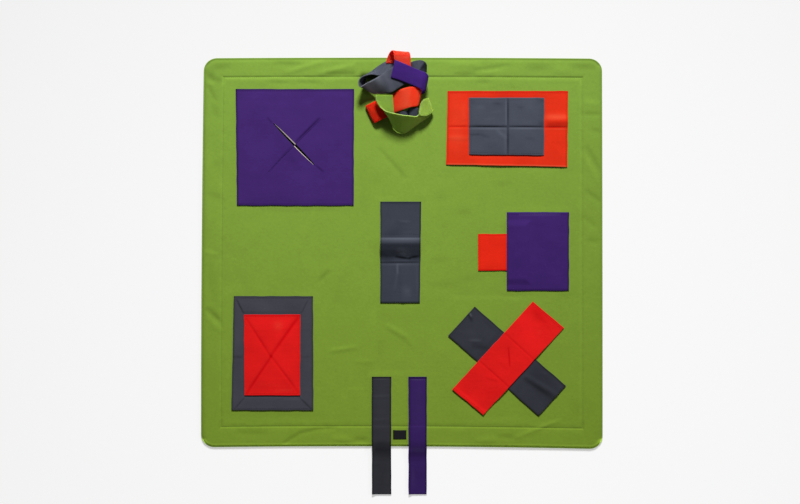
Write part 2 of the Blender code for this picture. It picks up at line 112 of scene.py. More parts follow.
# Creases of the fleece, and their painted light or dark:
# (x0, y0, x1, y1, height, half width, shade)
MAT_FOLDS = (
    # upper left corner and left border
    (-378.6, 364, -348.7, 369, -0.8, 7, -0.13), (-389.6, 354.3, -381.2, 344.3, -1.2, 7, -0.15),
    (-381.2, 344.3, -356.3, 336.1, -0.7, 7, -0.1), (-388.6, 336.1, -376, 333, 0.6, 4, 0.05),
    (-388, 329.4, -375.4, 303.7, -0.9, 3.5, -0.12), (-377.1, 287.3, -373.1, 267.3, -0.7, 5, -0.06),
    (-373.1, 171.6, -361.1, 167.6, -0.6, 9, -0.06), (-383, 111.7, -365.1, 103.7, -0.7, 9, -0.07),
    (-393, -1, -373.1, -5, 0.7, 4, 0.06), (-387, -31.9, -379.1, -95.8, -0.7, 9, -0.07),
    (-389, -115.7, -365.1, -139.7, -1.4, 4.5, -0.14), (-387, -133.7, -367.1, -155.6, 0.7, 5, 0.05),
    # top border and the field just below its seam
    (-253.4, 375.1, -209.5, 373.1, -0.9, 6, -0.08), (-229.4, 359.1, -163.6, 378.1, 1.1, 5, 0.05),
    (-163.6, 357.1, -95.8, 373.1, 1.1, 5, 0.05), (-149.6, 353.1, -85.8, 355.1, -1.4, 5.5, -0.14),
    (97.8, 373.1, 149.6, 373.1, 0.8, 6, 0.04), (103.7, 353.1, 139.7, 353.1, -0.9, 5, -0.09),
    (143.6, 361.1, 207.5, 371.1, -0.9, 4, -0.08), (149.6, 357.1, 193.5, 359.1, 0.4, 4, 0.03),
    (253.4, 363.1, 293.3, 363.1, -1, 9, -0.07), (293.3, 363.1, 327.2, 363.1, 0.7, 9, 0.05),
    (343.1, 367.1, 379.1, 365.1, -0.9, 7, -0.07), (-269.3, 337.2, -223.4, 335.2, -0.7, 5, -0.06),
    (-209.5, 337.2, -163.6, 335.2, -0.7, 5, -0.06), (149.6, 337.2, 173.6, 337.2, -0.7, 5, -0.05),
    # right border
    (363.1, 297.3, 387, 295.3, 0.8, 6, 0.05), (359.1, 274.3, 393, 274.3, -0.9, 5, -0.08),
    (377.1, 241.4, 393, 239.4, -0.6, 5, -0.05), (367.1, 207.5, 393, 159.6, -1.1, 5, -0.1),
    (363.1, 187.5, 389, 139.7, 0.8, 5, 0.06), (367.1, 119.7, 393, 99.8, -0.9, 5, -0.09),
    (363.1, 67.8, 383, 49.9, -0.7, 5, -0.06), (367.1, 21.9, 387, 20, -0.7, 6, -0.06),
    # bottom border
    (-235.4, -381, -203.5, -361.1, -0.9, 3.5, -0.1),
    (-203.5, -361.1, -175.6, -355.1, -0.9, 3.5, -0.1),
    (-175.6, -355.1, -135.7, -351.1, -0.8, 3.5, -0.08),
    (-135.7, -371.1, -109.7, -373.1, 0.8, 6, 0.06), (-93.8, -375.1, -65.8, -375.1, -0.8, 5, -0.08),
    (-325.2, -361.1, -275.3, -363.1, -0.6, 7, -0.05),
    (193.5, -369.1, 219.5, -371.1, -0.7, 5, -0.07), (149.6, -375.1, 183.5, -375.1, 0.6, 6, 0.04),
    (227.4, -369.1, 313.2, -335.2, 0.9, 4, 0.05),
    # field
    (-45.9, 203.5, 4, 147.6, -0.8, 4, -0.09), (-179.6, 73.8, -193.5, 37.9, 0.8, 7, 0),
    (-193.5, 37.9, -203.5, 4, 0.8, 7, 0), (-203.5, 4, -199.5, -29.9, 0.7, 7, 0),
    (-149.6, -39.9, -165.6, -57.9, -1, 4, -0.12), (-114.7, -21.9, -121.7, -49.9, 0.7, 7, -0.02),
    (-121.7, -49.9, -133.7, -91.8, 0.7, 7, -0.02), (-143.6, -197.5, -123.7, -194.5, 0.8, 4, 0),
    (-123.7, -194.5, -95.8, -190.5, 0.8, 4, 0), (-94.8, -217.5, -75.8, -220.4, 0.35, 4, -0.02),
    (-75.8, -220.4, -59.9, -218.5, 0.35, 4, -0.02), (-31, -148.5, 3, -168, 1.1, 5, -0.03),
    (3, -168, 19, -187, 0.5, 5, -0.02), (-45.9, -185.5, -45.9, -215.5, -0.4, 6, -0.05),
    (-59.9, -119.7, -59.9, -151.6, 0.3, 6, 0.05), (-83.8, 169.6, -83.8, 83.8, -0.3, 12, -0.05),
    (-53.9, 141.6, -53.9, 133.7, -0.3, 8, -0.05), (67.8, 105.7, 89.8, 105.7, -0.4, 8, -0.05),
    (187.5, 131.7, 207.5, 131.7, -0.4, 7, -0.05), (107.7, 75.8, 133.7, 75.8, -0.4, 8, -0.05),
    (63.8, -20, 87.8, -18, -0.4, 8, -0.05), (119.7, -57.9, 147.6, -57.9, -0.4, 8, -0.05),
    (63.8, -69.8, 99.8, -69.8, -0.4, 8, -0.05),
)
MAT_RIGHT_SHADE = 0.08  # how much darker the pile is painted at the right side than at the left
MAT_SIDES = 0.055  # how much darker it is painted at both sides than in the middle
# Deep shade painted on the pile: (x0, y0, x1, y1, half width, shade)
MAT_HOLLOWS = (
    (-259, 253.5, -177, 171.5, 9.0, -0.95),
    (-79, 351, -52, 349, 7.0, -0.85),
)
# Unevenness of the padding: (spacing, height, draw)
MAT_UNEVEN = ((26, 0.16, 11), (62, 0.34, 12), (140, 0.4, 13))

# Felt pieces; corners run from the lower left one anticlockwise
PURPLE_SQUARE = ((-331.2, 92.6), (-98.4, 92.6), (-97.6, 325), (-333.5, 325))
SLIT_CENTRE = (-217.2, 214.8)
SLIT_LENGTH = 118
SLIT_WIDTH = 5.5
SLIT_ANGLE = -45.5
SLIT_LIFT = 1.6
SLIT_REACH = 62
SLIT_LEANS = (1.9, 1.1)  # how far the upper and the lower lip's cut wall leans out
SLIT_LEAN_TAPER = 0.6
SLIT_PALE_CHANGE = 2  # where along the slit its painted pale walls pass from lip to lip
SLIT_WALL_FACING = (0.3, 0.7)  # its walls' most upward and least sideways facing
CUTTER_HEIGHT = 30
CROSS_SLIT = ((-160, 268), (-274, 155))  # the second cut, which stays closed
CROSS_SLIT_WIDTH = 0.6

RED_FLAP = ((86, 174.4), (327.5, 169.4), (329, 321), (89, 321))
RED_FLAP_LOOSE = 0.15
RED_FLAP_WAVE = (188, 0.8, 32)  # x, rise and half width of the loose edge's wave
RED_FLAP_PUFF = (261, 2.6, 10)  # y, rise and half width of the puff at its right end
RED_FLAP_PUFF_X = (282, 292)
GREY_FLAP = ((131.6, 194.0), (281.2, 192.2), (281.6, 307.5), (131.6, 307.5))
GREY_FLAP_BED = ((133, 191), (281, 307))  # the box in which the red flap is held down
GREY_FLAP_RISE = 0.7

RED_TAB = ((150, -37.2), (228, -37.2), (228, 36), (150, 36))
PURPLE_POCKET = ((206.8, -77.5), (331, -77), (331, 79.3), (206.8, 79.3))
POCKET_SLOPE = (14, 30)
POCKET_RISE = 0.6

CROSS_GREY = ((90, -167), (270, -327), (325, -267), (143, -109))
CROSS_RED = ((98, -274), (160, -325), (321, -151), (258.7, -99))
CROSS_SLOPE = (3, 60)
CROSS_CLEARANCE = (2, 12)
CROSS_END_LIFT = 1.4

FRAME_GREY = ((-342.1, -315.5), (-178.8, -315.5), (-179.4, -88.1), (-337.4, -88.1))
FRAME_RED = ((-316, -285.7), (-205.2, -285.7), (-204.3, -124.5), (-316.9, -124.5))
FRAME_RED_BED = ((-315.3, -284.9), (-205.3, -124.9))  # the same, in the grey frame
FRAME_PILLOW = 0.9

TUNNEL_X = (-45.2, 36.1)
TUNNEL_TAPER = 2.6
TUNNEL_CREASE = (-4, -40, 0.06, 0.7, 5)  # x at a y, slant, height, half width
TUNNEL_CREASE_Y = (-22, -30)
TUNNEL_FOOT = (-8, 0.9, 9)  # y, height and half width of the ripples at its front foot
TUNNEL_RIPPLES = (-45, 9 / 82)  # where they start, and radians to the mm
TUNNEL_PROFILE = (
    (100.5, 0.0), (66, 0.0), (38, 0.0), (29, 0.0), (27.2, 0.8), (26.5, 5.0), (26.1, 9.5),
    (25.2, 12.8), (22.5, 14.1), (18.5, 14.0), (14, 12.6), (5, 8.8), (-3, 4.6), (-9, 1.6),
    (-14, 0.4), (-20, 0.0), (-50, 0.0), (-78, 0.0), (-101.2, 0.0),
)

STRAP_CURL = 2.0
STRAP_CURL_X, STRAP_CURL_Y = (0, 9), (-388, -400)
STRAP_SEAM = (-345, -0.4, 3)  # y, depth and half width
STRAP_LIFT = 0.4
STRAP_GREY_X = (-62.2, -23.5)
STRAP_PURPLE_X = (10.9, 47.2)
STRAP_PROFILE = (
    (-248.6, 6.3), (-280, 6.3), (-312, 6.3), (-336, 6.4), (-345, 6.9), (-352, 7.3), (-370, 7.4),
    (-376, 7.4), (-381, 7.2), (-386, 6.6), (-391, 5.4), (-397, 3.6), (-403, 1.9), (-409, 0.7),
    (-416, 0.15), (-424, 0.0), (-484.3, 0.0),
)

LABEL = ((-20, -372.5), (7, -372.5), (7, -355), (-20, -355))

# Rungs of the tangle's felt strips, (x0, y0, z0, x1, y1, z1): those of the part, but that the left
# grey and the left red strip lie up to 5 mm higher in places
STRIPS = {
    "strip_grey_left": ("grey", (
        (-2, 350.1, 16, -14, 384, 8.6), (-24, 353.2, 28, -34.1, 379, 8.6),
        (-44.1, 348.1, 32, -50, 369.9, 8.4), (-61.2, 349.7, 35.5, -60, 362, 8),
        (-73.1, 347.8, 37, -71, 354.1, 7.6), (-82.2, 343.8, 37, -74.6, 347.6, 8),
        (-87.1, 335.7, 37, -74.6, 338.9, 8), (-84.2, 325.6, 36.5, -73.4, 326.1, 8.5),
        (-71.2, 332.5, 37.5, -61, 316.2, 10), (-55, 341.3, 38, -44.1, 314.5, 17),
        (-41, 350.2, 37.5, -24, 315.1, 29.5), (-28.1, 359.3, 36, -9, 323.6, 32.5),
        (-14.1, 368.3, 35, 6, 332.3, 31.5), (2.9, 371.6, 28, 19.7, 333.1, 25),
        (13.9, 372.2, 18, 28.7, 334.5, 18),
    )),
    "strip_grey_right": ("grey", (
        (16.8, 352.3, 25, 12.8, 374.4, 23), (22.6, 352.4, 31, 21.7, 377.1, 28.5),
        (24.2, 352.6, 33.5, 31.5, 378.6, 31.5), (25.9, 352.9, 34, 38.8, 377.6, 32.5),
        (29.5, 353.1, 33, 43.2, 375.1, 31), (38.5, 353.4, 24, 46.1, 372.3, 21),
        (44.3, 349.6, 12, 47, 365.1, 8.6),
    )),
    "strip_grey_inner": ("grey", (
        (-16.4, 277.2, 7, -12, 259.2, 7), (-11, 277.4, 17, -8, 260.4, 15),
        (-5.4, 277.3, 25, -3, 262.6, 22), (0.9, 278.1, 28, 2.5, 263.3, 24),
        (5.9, 278.5, 26.5, 7.5, 263.4, 23.5), (9.1, 280.5, 21, 10.3, 264.9, 19),
        (11.8, 282.9, 26, 13.2, 264.8, 23), (20.7, 284.7, 29.5, 20.7, 265.2, 25),
        (28.6, 284.7, 29, 27.3, 268.2, 24.5), (32, 284.3, 24, 30.1, 271.7, 20),
        (33.8, 285.2, 15, 31.8, 273.6, 12), (32.7, 286.1, 7.2, 30.9, 275.2, 7),
    )),
    "strip_red_top": ("red", (
        (-34, 375, 15.4, 2, 375, 12.8), (-32, 384, 16.4, 3, 384, 13.4), (-28, 393, 20, 5, 391, 17),
        (-24, 397, 27, 9, 395, 25), (-21, 397, 35, 12, 393, 33), (-19, 393, 40, 14, 389, 39),
        (-18, 385, 41, 15, 380, 41), (-16, 375, 40, 15, 369, 40), (-12, 364, 38.5, 17, 358, 38),
    )),
    "strip_red_middle": ("red", (
        (-24.9, 312, 17, -23.9, 274.6, 14), (-19.9, 313.6, 22.5, -18.9, 275.5, 18.5),
        (-6, 320.8, 29.5, -4, 279.9, 28), (10, 325, 35, 11.9, 284.9, 34),
        (24, 325.9, 34, 24, 287, 33), (32.9, 323, 28, 30, 288.9, 27),
        (36.1, 320, 18, 30.9, 289.9, 17), (32, 318.1, 11.5, 28, 290.1, 11),
        (22.1, 317.1, 10, 17.9, 290, 8.5),
    )),
    "strip_red_left": ("red", (
        (-35.5, 309.5, 7.4, -19, 275, 7.4), (-56, 300, 7.4, -40, 265, 7.4),
        (-69, 294, 7.6, -52, 259, 7.6), (-74, 291, 11.5, -57, 256, 11.5),
        (-69, 293, 16, -52, 258, 16), (-56, 299, 20, -40, 264, 19), (-44, 305, 21, -27, 270, 19),
    )),
    "strip_purple": ("purple", (
        (-16, 377.5, 43, -24.1, 343.9, 37.8), (2.1, 370.5, 42.5, -5, 337.9, 37.2),
        (19.9, 362.6, 41.5, 13.1, 330.8, 37.2), (35.1, 356.5, 40.5, 28.1, 324.7, 37),
        (45.2, 352.5, 38.5, 35, 321.6, 35.5), (49, 348.3, 33, 42, 318.4, 30),
        (49, 345.2, 25, 43, 315.2, 21), (47, 344.1, 16, 40.9, 315, 14), (42, 345, 9.5, 35, 314, 9),
        (31.1, 344.9, 7.5, 24.9, 311, 7.5), (18.9, 344.9, 7.5, 12.9, 311, 7.5),
    )),
    "strip_green": ("green", (
        (-55.1, 309.5, 36, -20.6, 310.5, 27), (-53.1, 297.7, 35.5, -19.3, 293.8, 26),
        (-47.2, 287.9, 35, -18.1, 274.9, 23), (-41.1, 282.7, 36, -18.9, 260.3, 16),
        (-33, 277.2, 37.5, -18.5, 248.2, 10), (-20, 273.4, 39.5, -10.8, 239.7, 8.8),
        (-4, 269.9, 41, 3, 236.7, 7.4), (13.7, 268.1, 37.5, 17.9, 246.3, 7.2),
        (28, 268.9, 29.5, 32.7, 257.4, 7.4), (36.2, 284.3, 22.5, 44.2, 264.7, 8.2),
        (43.6, 298.8, 17.5, 53, 270.9, 9.6), (50, 305.3, 18.3, 59.5, 279.5, 12.5),
        (49.5, 304.8, 21.5, 58.7, 278.8, 17), (47.9, 304.5, 22.7, 54.5, 274.4, 19.5),
        (45.5, 303.7, 24, 47.5, 270, 23), (42.7, 302.8, 25.2, 39.5, 269, 26.7),
        (39.9, 301.4, 26.5, 32.3, 269.9, 30.5), (34.3, 292.4, 29, 31.3, 277.5, 30.2),
    )),
}
# Light painted on the strips: (rung, painted light)
STRIP_PAINTED_LIGHT = {
    "strip_green": ((0, 0), (2, 0.1), (4, 1.1), (8, 1), (10, 0.7), (12, 0.4)),
    "strip_grey_left": ((0, 0), (7, 0), (8, 4.5), (9, 3), (10, 0.7), (11, 0.2), (14, 0)),
    "strip_red_middle": ((0, 0), (1.6, 0), (2.8, 0.12), (3.6, 0)),
}
STRIP_CROWN = 0.5
STRIP_UNEVEN = 0.35
STRIP_CELLS = 10
STRIP_STEPS = 6

# Creases, stitched lines and wrinkles of the felt, most of them painted light or dark alone:
# (x0, y0, x1, y1, height, half width, shade)
FELT_FOLDS = {
    "slit_square": (
        (-235.1, 199.2, -211.2, 171.4, 0, 9, -0.07), (-223.8, 208.8, -266.6, 160, -0.3, 1.8, -0.3),
        (-173.6, 172.4, -158.4, 159.6, -0.3, 1.6, -0.5), (-270.2, 268, -261.2, 257, 0, 1.8, -0.32),
        (-167.8, 265.4, -213.6, 219.6, -0.3, 2.2, -0.6),
    ),
    "red_flap_felt": (
        (88.6, 249.9, 132.5, 249.9, -0.5, 1.9, -0.2), (88.6, 247.5, 132.5, 247.5, 0, 1.8, 0.06),
        (279.9, 248.9, 328.7, 248.9, -0.5, 1.9, -0.31), (121.5, 294.9, 121.5, 255, 0.4, 6, 0.03),
        (91.6, 220.2, 129.5, 219.2, 0, 5, 0.01), (205.2, 181.3, 253, 182.3, 0, 8, -0.03),
        (316.8, 243.1, 316.8, 183.3, 0, 10, 0.01), (177.3, 312.8, 265, 312.8, 0, 5, -0.1),
        (282.9, 269, 328.7, 268.6, 0, 6, 0.1), (286.9, 252.6, 328.7, 257.8, 0, 4.5, -0.13),
        (283.9, 245.5, 328.7, 245.3, 0, 1.4, 0.12), (87.6, 228.1, 125.5, 227.1, 0.5, 5, 0.05),
        (105.6, 312.8, 107.6, 203.2, 0, 14, 0.03), (304.8, 239.1, 304.8, 173.3, 0, 13, -0.03),
    ),
    "grey_flap_felt": (
        (133.5, 246.1, 204.2, 245.9, 0, 2.2, 0.52), (205.2, 303.9, 205.2, 253, 0, 1.5, 0.51),
        (132.5, 233.9, 150.4, 233.9, 0, 1.9, -0.29), (149.4, 235.1, 171.3, 229.1, 0, 3, -0.2),
        (167.3, 211.2, 187.3, 203.2, 0, 12, -0.06), (134.5, 302.9, 144.4, 296.9, 0, 7, -0.1),
        (269, 302.5, 279.9, 300.9, 0, 4, -0.18), (272.9, 256, 279.9, 255, 0, 5, -0.3),
        (181.3, 295.9, 195.2, 294.9, 0, 3, -0.22), (229.1, 287.9, 240.1, 287.9, 0, 2.5, -0.17),
        (177.3, 277.8, 193.2, 280.1, 0, 2.5, 0.1), (161.4, 264, 181.3, 266, 0, 2.5, 0.13),
        (145.4, 287.9, 161.4, 287.9, 0, 4, 0.13), (245.1, 227.1, 261, 225.2, 0, 3, -0.15),
        (245.1, 294.9, 265, 286.9, 0, 8, 0.09), (212.2, 249.7, 279.9, 249.1, -0.8, 2.1, -0.85),
        (208.8, 303.9, 208.8, 251.9, -0.8, 1.9, -0.72),
        (208.8, 247.1, 208.8, 196.3, -0.8, 1.9, -0.78), (212.2, 246.3, 279.9, 246.3, 0, 1.8, 0.62),
        (204.4, 245.1, 204.4, 196.3, 0, 3.5, 0.22), (189.3, 241.1, 203.2, 229.1, 0, 4, 0.35),
        (132.5, 249.9, 205.2, 249.5, -0.8, 2.2, -1),
    ),
    "pocket_felt": (
        (233.1, 74.5, 312.8, 74.9, 0, 2, 0.27),
    ),
    "cross_red_felt": (
        (204, -163.4, 260, -214.4, -0.5, 1.4, -0.19),
        (151.8, -216.8, 211.2, -269.4, -0.5, 1.6, -0.24),
        (210, -190.7, 212.8, -228.1, -0.4, 1.1, -0.57),
        (189.3, -218.2, 209.2, -234.1, 0, 2.5, -0.07), (261, -113.6, 282.9, -137.5, 0.5, 7, -0.12),
        (272.9, -155.4, 272.9, -157.4, 0, 5, 0.04), (265, -151.4, 284.9, -161.4, 0, 4, -0.02),
        (167.3, -249.1, 187.3, -255, 0.4, 3, -0.07), (157.4, -239.1, 177.3, -247.1, 0, 4, -0.03),
        (119.5, -277, 133.5, -284.9, 0, 5, -0.09), (153.4, -280.9, 203.2, -278.9, 0, 7, -0.09),
        (223.1, -139.5, 237.1, -155.4, 0, 6, -0.01), (249, -101.6, 288.9, -139.5, 0, 15, -0.07),
    ),
    "cross_grey_felt": (
        (129.5, -122.5, 136.5, -137.5, -0.6, 3.2, -0.45),
        (141.4, -186.3, 173.3, -193.3, 0, 5, -0.25), (119.5, -155.4, 145.4, -161.4, 0, 7, 0.07),
        (278.9, -239.1, 286.9, -244.1, 0, 3, 0.12), (310.8, -267, 316.8, -271, 0, 3, 0.1),
        (248, -250.7, 304.8, -285.3, 1.2, 5.5, 0.05), (251, -248.1, 307.8, -279.5, 0, 3.5, 0.04),
        (244.1, -254, 298.9, -292.9, -0.3, 5, -0.26), (278.9, -244.3, 296.9, -263, 0, 5, -0.06),
        (134.5, -176.3, 153.4, -177.3, 0.5, 3, 0.27), (161.4, -137.5, 187.3, -159.4, 0, 3, -0.05),
        (133.5, -122.5, 135.5, -127.5, 0, 1.8, 1.2), (257, -239.1, 304.8, -298.9, 0, 20, -0.2),
    ),
    "frame_grey_felt": (
        (-189.3, -95.6, -202.1, -121.5, -0.3, 1.3, -0.31),
        (-337.8, -209, -320.8, -209, 0, 2.2, -0.33), (-201.3, -209.2, -187.3, -209.2, 0, 2, -0.18),
        (-273, -109.6, -269, -109.6, 0, 8, 0.07), (-233.1, -107.6, -209.2, -113.6, 0, 6, -0.04),
        (-237.1, -293.5, -201.3, -293.5, 0, 1.8, 0.17),
        (-328.8, -155.4, -328.8, -187.3, 0, 4, 0.06),
        (-205.8, -290.7, -182.9, -312.6, -0.3, 1.3, -0.58),
        (-331.2, -95.8, -318, -121.7, -0.3, 1.3, -0.66),
        (-334.4, -311.6, -317.4, -291.7, -0.3, 1.3, -0.36),
    ),
    "frame_red_felt": (
        (-314.8, -284.1, -207.2, -284.1, 0, 1.8, -0.06),
        (-288.9, -161.4, -271, -191.3, 0, 5, -0.07), (-235.1, -157.4, -209.2, -129.5, 0, 4.5, -0.1),
        (-249.1, -145.5, -247.1, -147.4, 0, 9, 0.06), (-281, -242.1, -239.1, -245.1, 0, 2.2, -0.02),
        (-286.9, -262, -233.1, -267, 0, 2.5, 0.01), (-253.1, -276, -221.2, -275, 0, 2.2, 0.03),
        (-237.1, -193.3, -231.2, -179.3, 0, 4, -0.02),
        (-208.6, -130.3, -263.6, -207.4, -0.6, 3.2, -0.36),
        (-313, -131.1, -264, -208.2, -0.6, 2.2, -0.24),
        (-263.2, -207.6, -208.2, -279.9, -0.6, 2.2, -0.24),
        (-262.4, -208.2, -311.5, -281.3, -0.6, 2.6, -0.38),
    ),
    "tunnel_felt": (
        (-43.9, 13, 31.9, 13, 0, 3, -0.12), (-43.9, -2, -25.9, -4, 0, 8, -0.25),
        (-44.9, -20.9, 30.9, -20.3, -0.5, 1.5, -0.76), (-11, -41.8, -17, -71.7, 0, 3, 0.16),
        (27.9, -25.9, 27.9, -87.7, 0, 1.8, 0.13), (6, -73.7, 9.9, -81.7, 0, 8, 0.27),
        (-37.9, -25.9, -37.9, -95.6, 0, 6, -0.03), (-12, 59.8, 6, 55.8, 0, 5, -0.1),
        (-6, 61.8, 11.9, 60.8, 0, 2.5, 0.22), (-35.9, 35.9, -6, 41.8, 0, 8, -0.2),
        (-18, 93.6, -6, 73.7, 0, 9, 0.02), (-43.9, 67.7, -41.9, 35.9, 0, 4, 0.05),
        (-43.9, 98, 35.8, 98, 0, 1.6, -0.22), (35.4, 97.6, 34, 23.9, 0, 1.4, -0.27),
        (-6, 2, 9.9, -2, 0, 7, 0.85), (-14, -8.8, 13.9, -12.8, 0, 2.4, -1),
        (13.7, -10.4, 29.7, -8, 0, 2.4, -0.85), (-10.8, -24.9, -10.8, -41.8, 0, 2.2, 0.62),
        (-44.9, -24.9, 29.9, -24.7, 0, 1.8, 0.3), (-43.9, 20.7, 29.9, 20.7, 0, 3, 0.3),
        (-44.3, 25.5, 32.9, 25.5, 0, 1.6, 0.45),
    ),
    "strap_grey_felt": (
        (-57.8, -253.6, -29.9, -253, 0, 1.6, 0.22), (-59.8, -292.9, -26.9, -292.9, 0, 4, 0.01),
        (-59.8, -394.5, -25.9, -394.5, 0, 3.5, -0.15), (-59.8, -382.6, -25.9, -382.6, 0, 7, -0.3),
        (-57.8, -426.4, -47.8, -426.4, 0, 3, -0.09), (-24.3, -253, -23.9, -482.2, 0, 1.5, -0.18),
        (-60, -253, -61, -482.2, 0, 1.5, -0.16), (-59.8, -288.1, -26.9, -287.3, 0.3, 2.6, 0.12),
        (-60.8, -335.7, -29.9, -333.7, 0.3, 2.8, 0.05), (-53.8, -316.8, -33.9, -316.8, 0, 5, 0.05),
        (-60.8, -250.3, -25.1, -249.5, 0, 1.6, -0.35), (-42.9, -418.4, -42.9, -482.2, 0, 14, -0.1),
        (-42.9, -259, -42.9, -344.7, 0, 14, 0.06),
    ),
    "strap_purple_felt": (
        (15.9, -254.2, 43.8, -254.2, 0, 1.4, 0.45), (14.5, -251.1, 13.3, -482.2, 0, 1.6, -0.2),
        (46.4, -251.1, 45.8, -482.2, 0, 1.6, -0.29), (31.9, -271, 31.9, -318.8, 0, 3, 0.02),
        (13.9, -394.5, 45.8, -396.5, 0, 6, 0.1), (19.9, -434.4, 19.9, -464.3, 0, 4, 0.08),
        (13.1, -251.1, 46.4, -251.7, 0, 1.6, -0.5), (13.9, -392.5, 45.8, -394.5, 0, 5, 0.12),
        (29.9, -259, 29.9, -344.7, 0, 14, 0.04),
    ),
}

PANEL_PITCH = 1.7
EDGE_STEPS = (0, 0.8, 1.6, 2.6)  # rows of points inwards from a cut edge
# Painted shade, below 0, or painted light, above 0, of the line that runs along each cut edge:
# bottom, right, top, left
EDGE_SHADES = {
    "slit_square": (-0.34, -0.40, -0.46, -0.48),
    "red_flap_felt": (0.15, -0.20, -0.36, -0.13),
    "grey_flap_felt": (0, 0.22, 0.20, 0),
    "red_tab_felt": (-0.38, 0, -0.32, -0.10),
    "pocket_felt": (-0.42, -0.27, 0, -0.10),
    "frame_grey_felt": (-0.2, -0.3, -0.4, -0.3),
    "frame_red_felt": (0, -0.06, -0.36, 0),
    "cross_grey_felt": (-0.30, -0.20, -0.40, -0.25),
    "cross_red_felt": (-0.10, 0, -0.12, 0),
    "tunnel_felt": (-0.42, -0.36, -0.34, -0.34),
    "strap_grey_felt": (-0.10, -0.34, -0.40, -0.34),
    "strap_purple_felt": (-0.15, -0.24, -0.35, -0.14),
}
EDGE_SHADE_INSET, EDGE_SHADE_HALF = 1.3, 1.5
# How far a hand-cut edge strays from its line, and over what length
EDGE_WANDER, EDGE_WANDER_SPACING = 0.45, 17
BAND_WANDER, BAND_WANDER_SPACING = 0.4, 19
BAND_DEEPEST = -0.3
ON_MAT = FIELD_HEIGHT + GAP

# Rows of stitches along the sides of pieces: (felt, piece, corners, sides from the bottom one
# anticlockwise)
ALL_SIDES = (0, 1, 2, 3)
STITCHED_SIDES = (
    ("purple", "slit_square", PURPLE_SQUARE, ALL_SIDES),
    ("red", "red_flap_felt", RED_FLAP, (1, 2, 3)),
    ("grey", "grey_flap_felt", GREY_FLAP, ALL_SIDES),
    ("red", "red_tab_felt", RED_TAB, (3,)),
    ("purple", "pocket_felt", PURPLE_POCKET, (0, 1, 2)),
    ("grey", "frame_grey_felt", FRAME_GREY, ALL_SIDES),
    ("red", "frame_red_felt", FRAME_RED, ALL_SIDES),
)
# Straight rows: (felt, piece, start, end)
STITCHED_LINES = (
    ("grey", "grey_flap_felt", (209, 300), (209, 198)),
    ("grey", "grey_flap_felt", (139, 251), (275, 251)),
    ("red", "red_flap_felt", (92, 251), (130, 251)),
    ("red", "red_flap_felt", (285, 251), (324, 251)),
    ("grey", "tunnel_felt", (-41.2, 96), (32.1, 96)),
    ("grey", "tunnel_felt", (-41.2, 36), (32.1, 36)),
    ("grey", "tunnel_felt", (-41.2, -21), (30.1, -21)),
    ("grey", "tunnel_felt", (-41.2, -99), (28.1, -99)),
    ("grey", "strap_grey_felt", (-58.2, -255), (-27.5, -255)),
    ("grey", "strap_grey_felt", (-58.2, -345), (-27.5, -345)),
    ("purple", "strap_purple_felt", (14.9, -255), (43.2, -255)),
    ("purple", "strap_purple_felt", (14.9, -345), (43.2, -345)),
)
# Rows across the bands' ends: (felt, piece, the row's corners, corners near it, corners far off)
STITCHED_ENDS = (
    ("grey", "cross_grey_felt", CROSS_GREY[0], CROSS_GREY[3], CROSS_GREY[:1], CROSS_GREY[1:2]),
    ("grey", "cross_grey_felt", CROSS_GREY[1], CROSS_GREY[2], CROSS_GREY[1:2], CROSS_GREY[:1]),
    ("red", "cross_red_felt", CROSS_RED[0], CROSS_RED[1], CROSS_RED[:2], CROSS_RED[2:]),
    ("red", "cross_red_felt", CROSS_RED[3], CROSS_RED[2], CROSS_RED[2:], CROSS_RED[:2]),
)
STITCH_INSET = 4
END_STITCH_INSET = 5
STITCH_DARKNESS = {"green": 0.9, "purple": 0.8, "red": 0.75, "grey": 0.8}
STITCH_STEEPEST = 1.5  # the height between a stitch's ends at which it is left out
ABOVE_ALL = 200  # the height from which stitches are dropped onto the cloth
# ---------------------------------------------------------------- choices in the sidebar


def length_property(name, description, mm):
    return FloatProperty(name=name, description=description, default=mm * MM, unit="LENGTH")


class SnuffleMatSizes(bpy.types.PropertyGroup):
    """Sizes that a maker would change"""

    felt: length_property("Felt", "Thickness of the felt patches", 1.6)
    strip_felt: length_property("Strip felt", "Thickness of the tangle's felt", 2.0)
    label: length_property("Label", "Thickness of the woven label", 1.0)
    stitch: length_property("Stitch", "Length of one stitch", 3.0)
    stitch_pitch: length_property("Stitch pitch", "From one stitch to the next", 4.2)
    thread: length_property("Thread", "Thickness of the sewing thread", 0.55)
    key_light: FloatProperty(
        name="Key light", description="Power of the soft light past the tangle", default=330.0,
        unit="POWER",
    )
    sky: FloatProperty(name="Sky", description="Strength of the light all round", default=0.14)
    glow: FloatProperty(name="Glow", description="Light of the lit-up floor itself", default=0.45)


def colour_property(name, description, default):
    return FloatVectorProperty(
        name=name, description=description, subtype="COLOR", size=3, min=0, max=1,
        default=default,
    )


class SnuffleMatColours(bpy.types.PropertyGroup):
    """Linear colours of the cloth"""

    green: colour_property("Green", "Fleece at the mat's top", (0.131, 0.219, 0.031))
    # The bottom colour holds painted shade: darker and less blue than the top one, where less light
    # falls
    green_shaded_bottom: colour_property("Green, bottom", "Fleece at its bottom", (0.132, 0.208, 0.0205))
    purple: colour_property("Purple", "Purple felt", (0.031, 0.0105, 0.088))
    red: colour_property("Red", "Red felt", (0.49, 0.0135, 0.0045))
    grey: colour_property("Grey", "Grey felt", (0.037, 0.041, 0.055))
    label: colour_property("Label", "Woven label", (0.010, 0.010, 0.011))
    # also painted on the slit's leaned cut walls, as the light line along the open cut
    cut: colour_property("Cut edge", "Raw core of the slit square's felt", (0.36, 0.31, 0.27))
    floor_near: colour_property("Floor, top", "Floor past the tangle", (0.235, 0.235, 0.235))
    floor_far: colour_property("Floor, bottom", "Floor past the straps", (0.425, 0.425, 0.425))


def sizes():
    return bpy.context.scene.snuffle_mat_sizes


def colours():
    return bpy.context.scene.snuffle_mat_colours


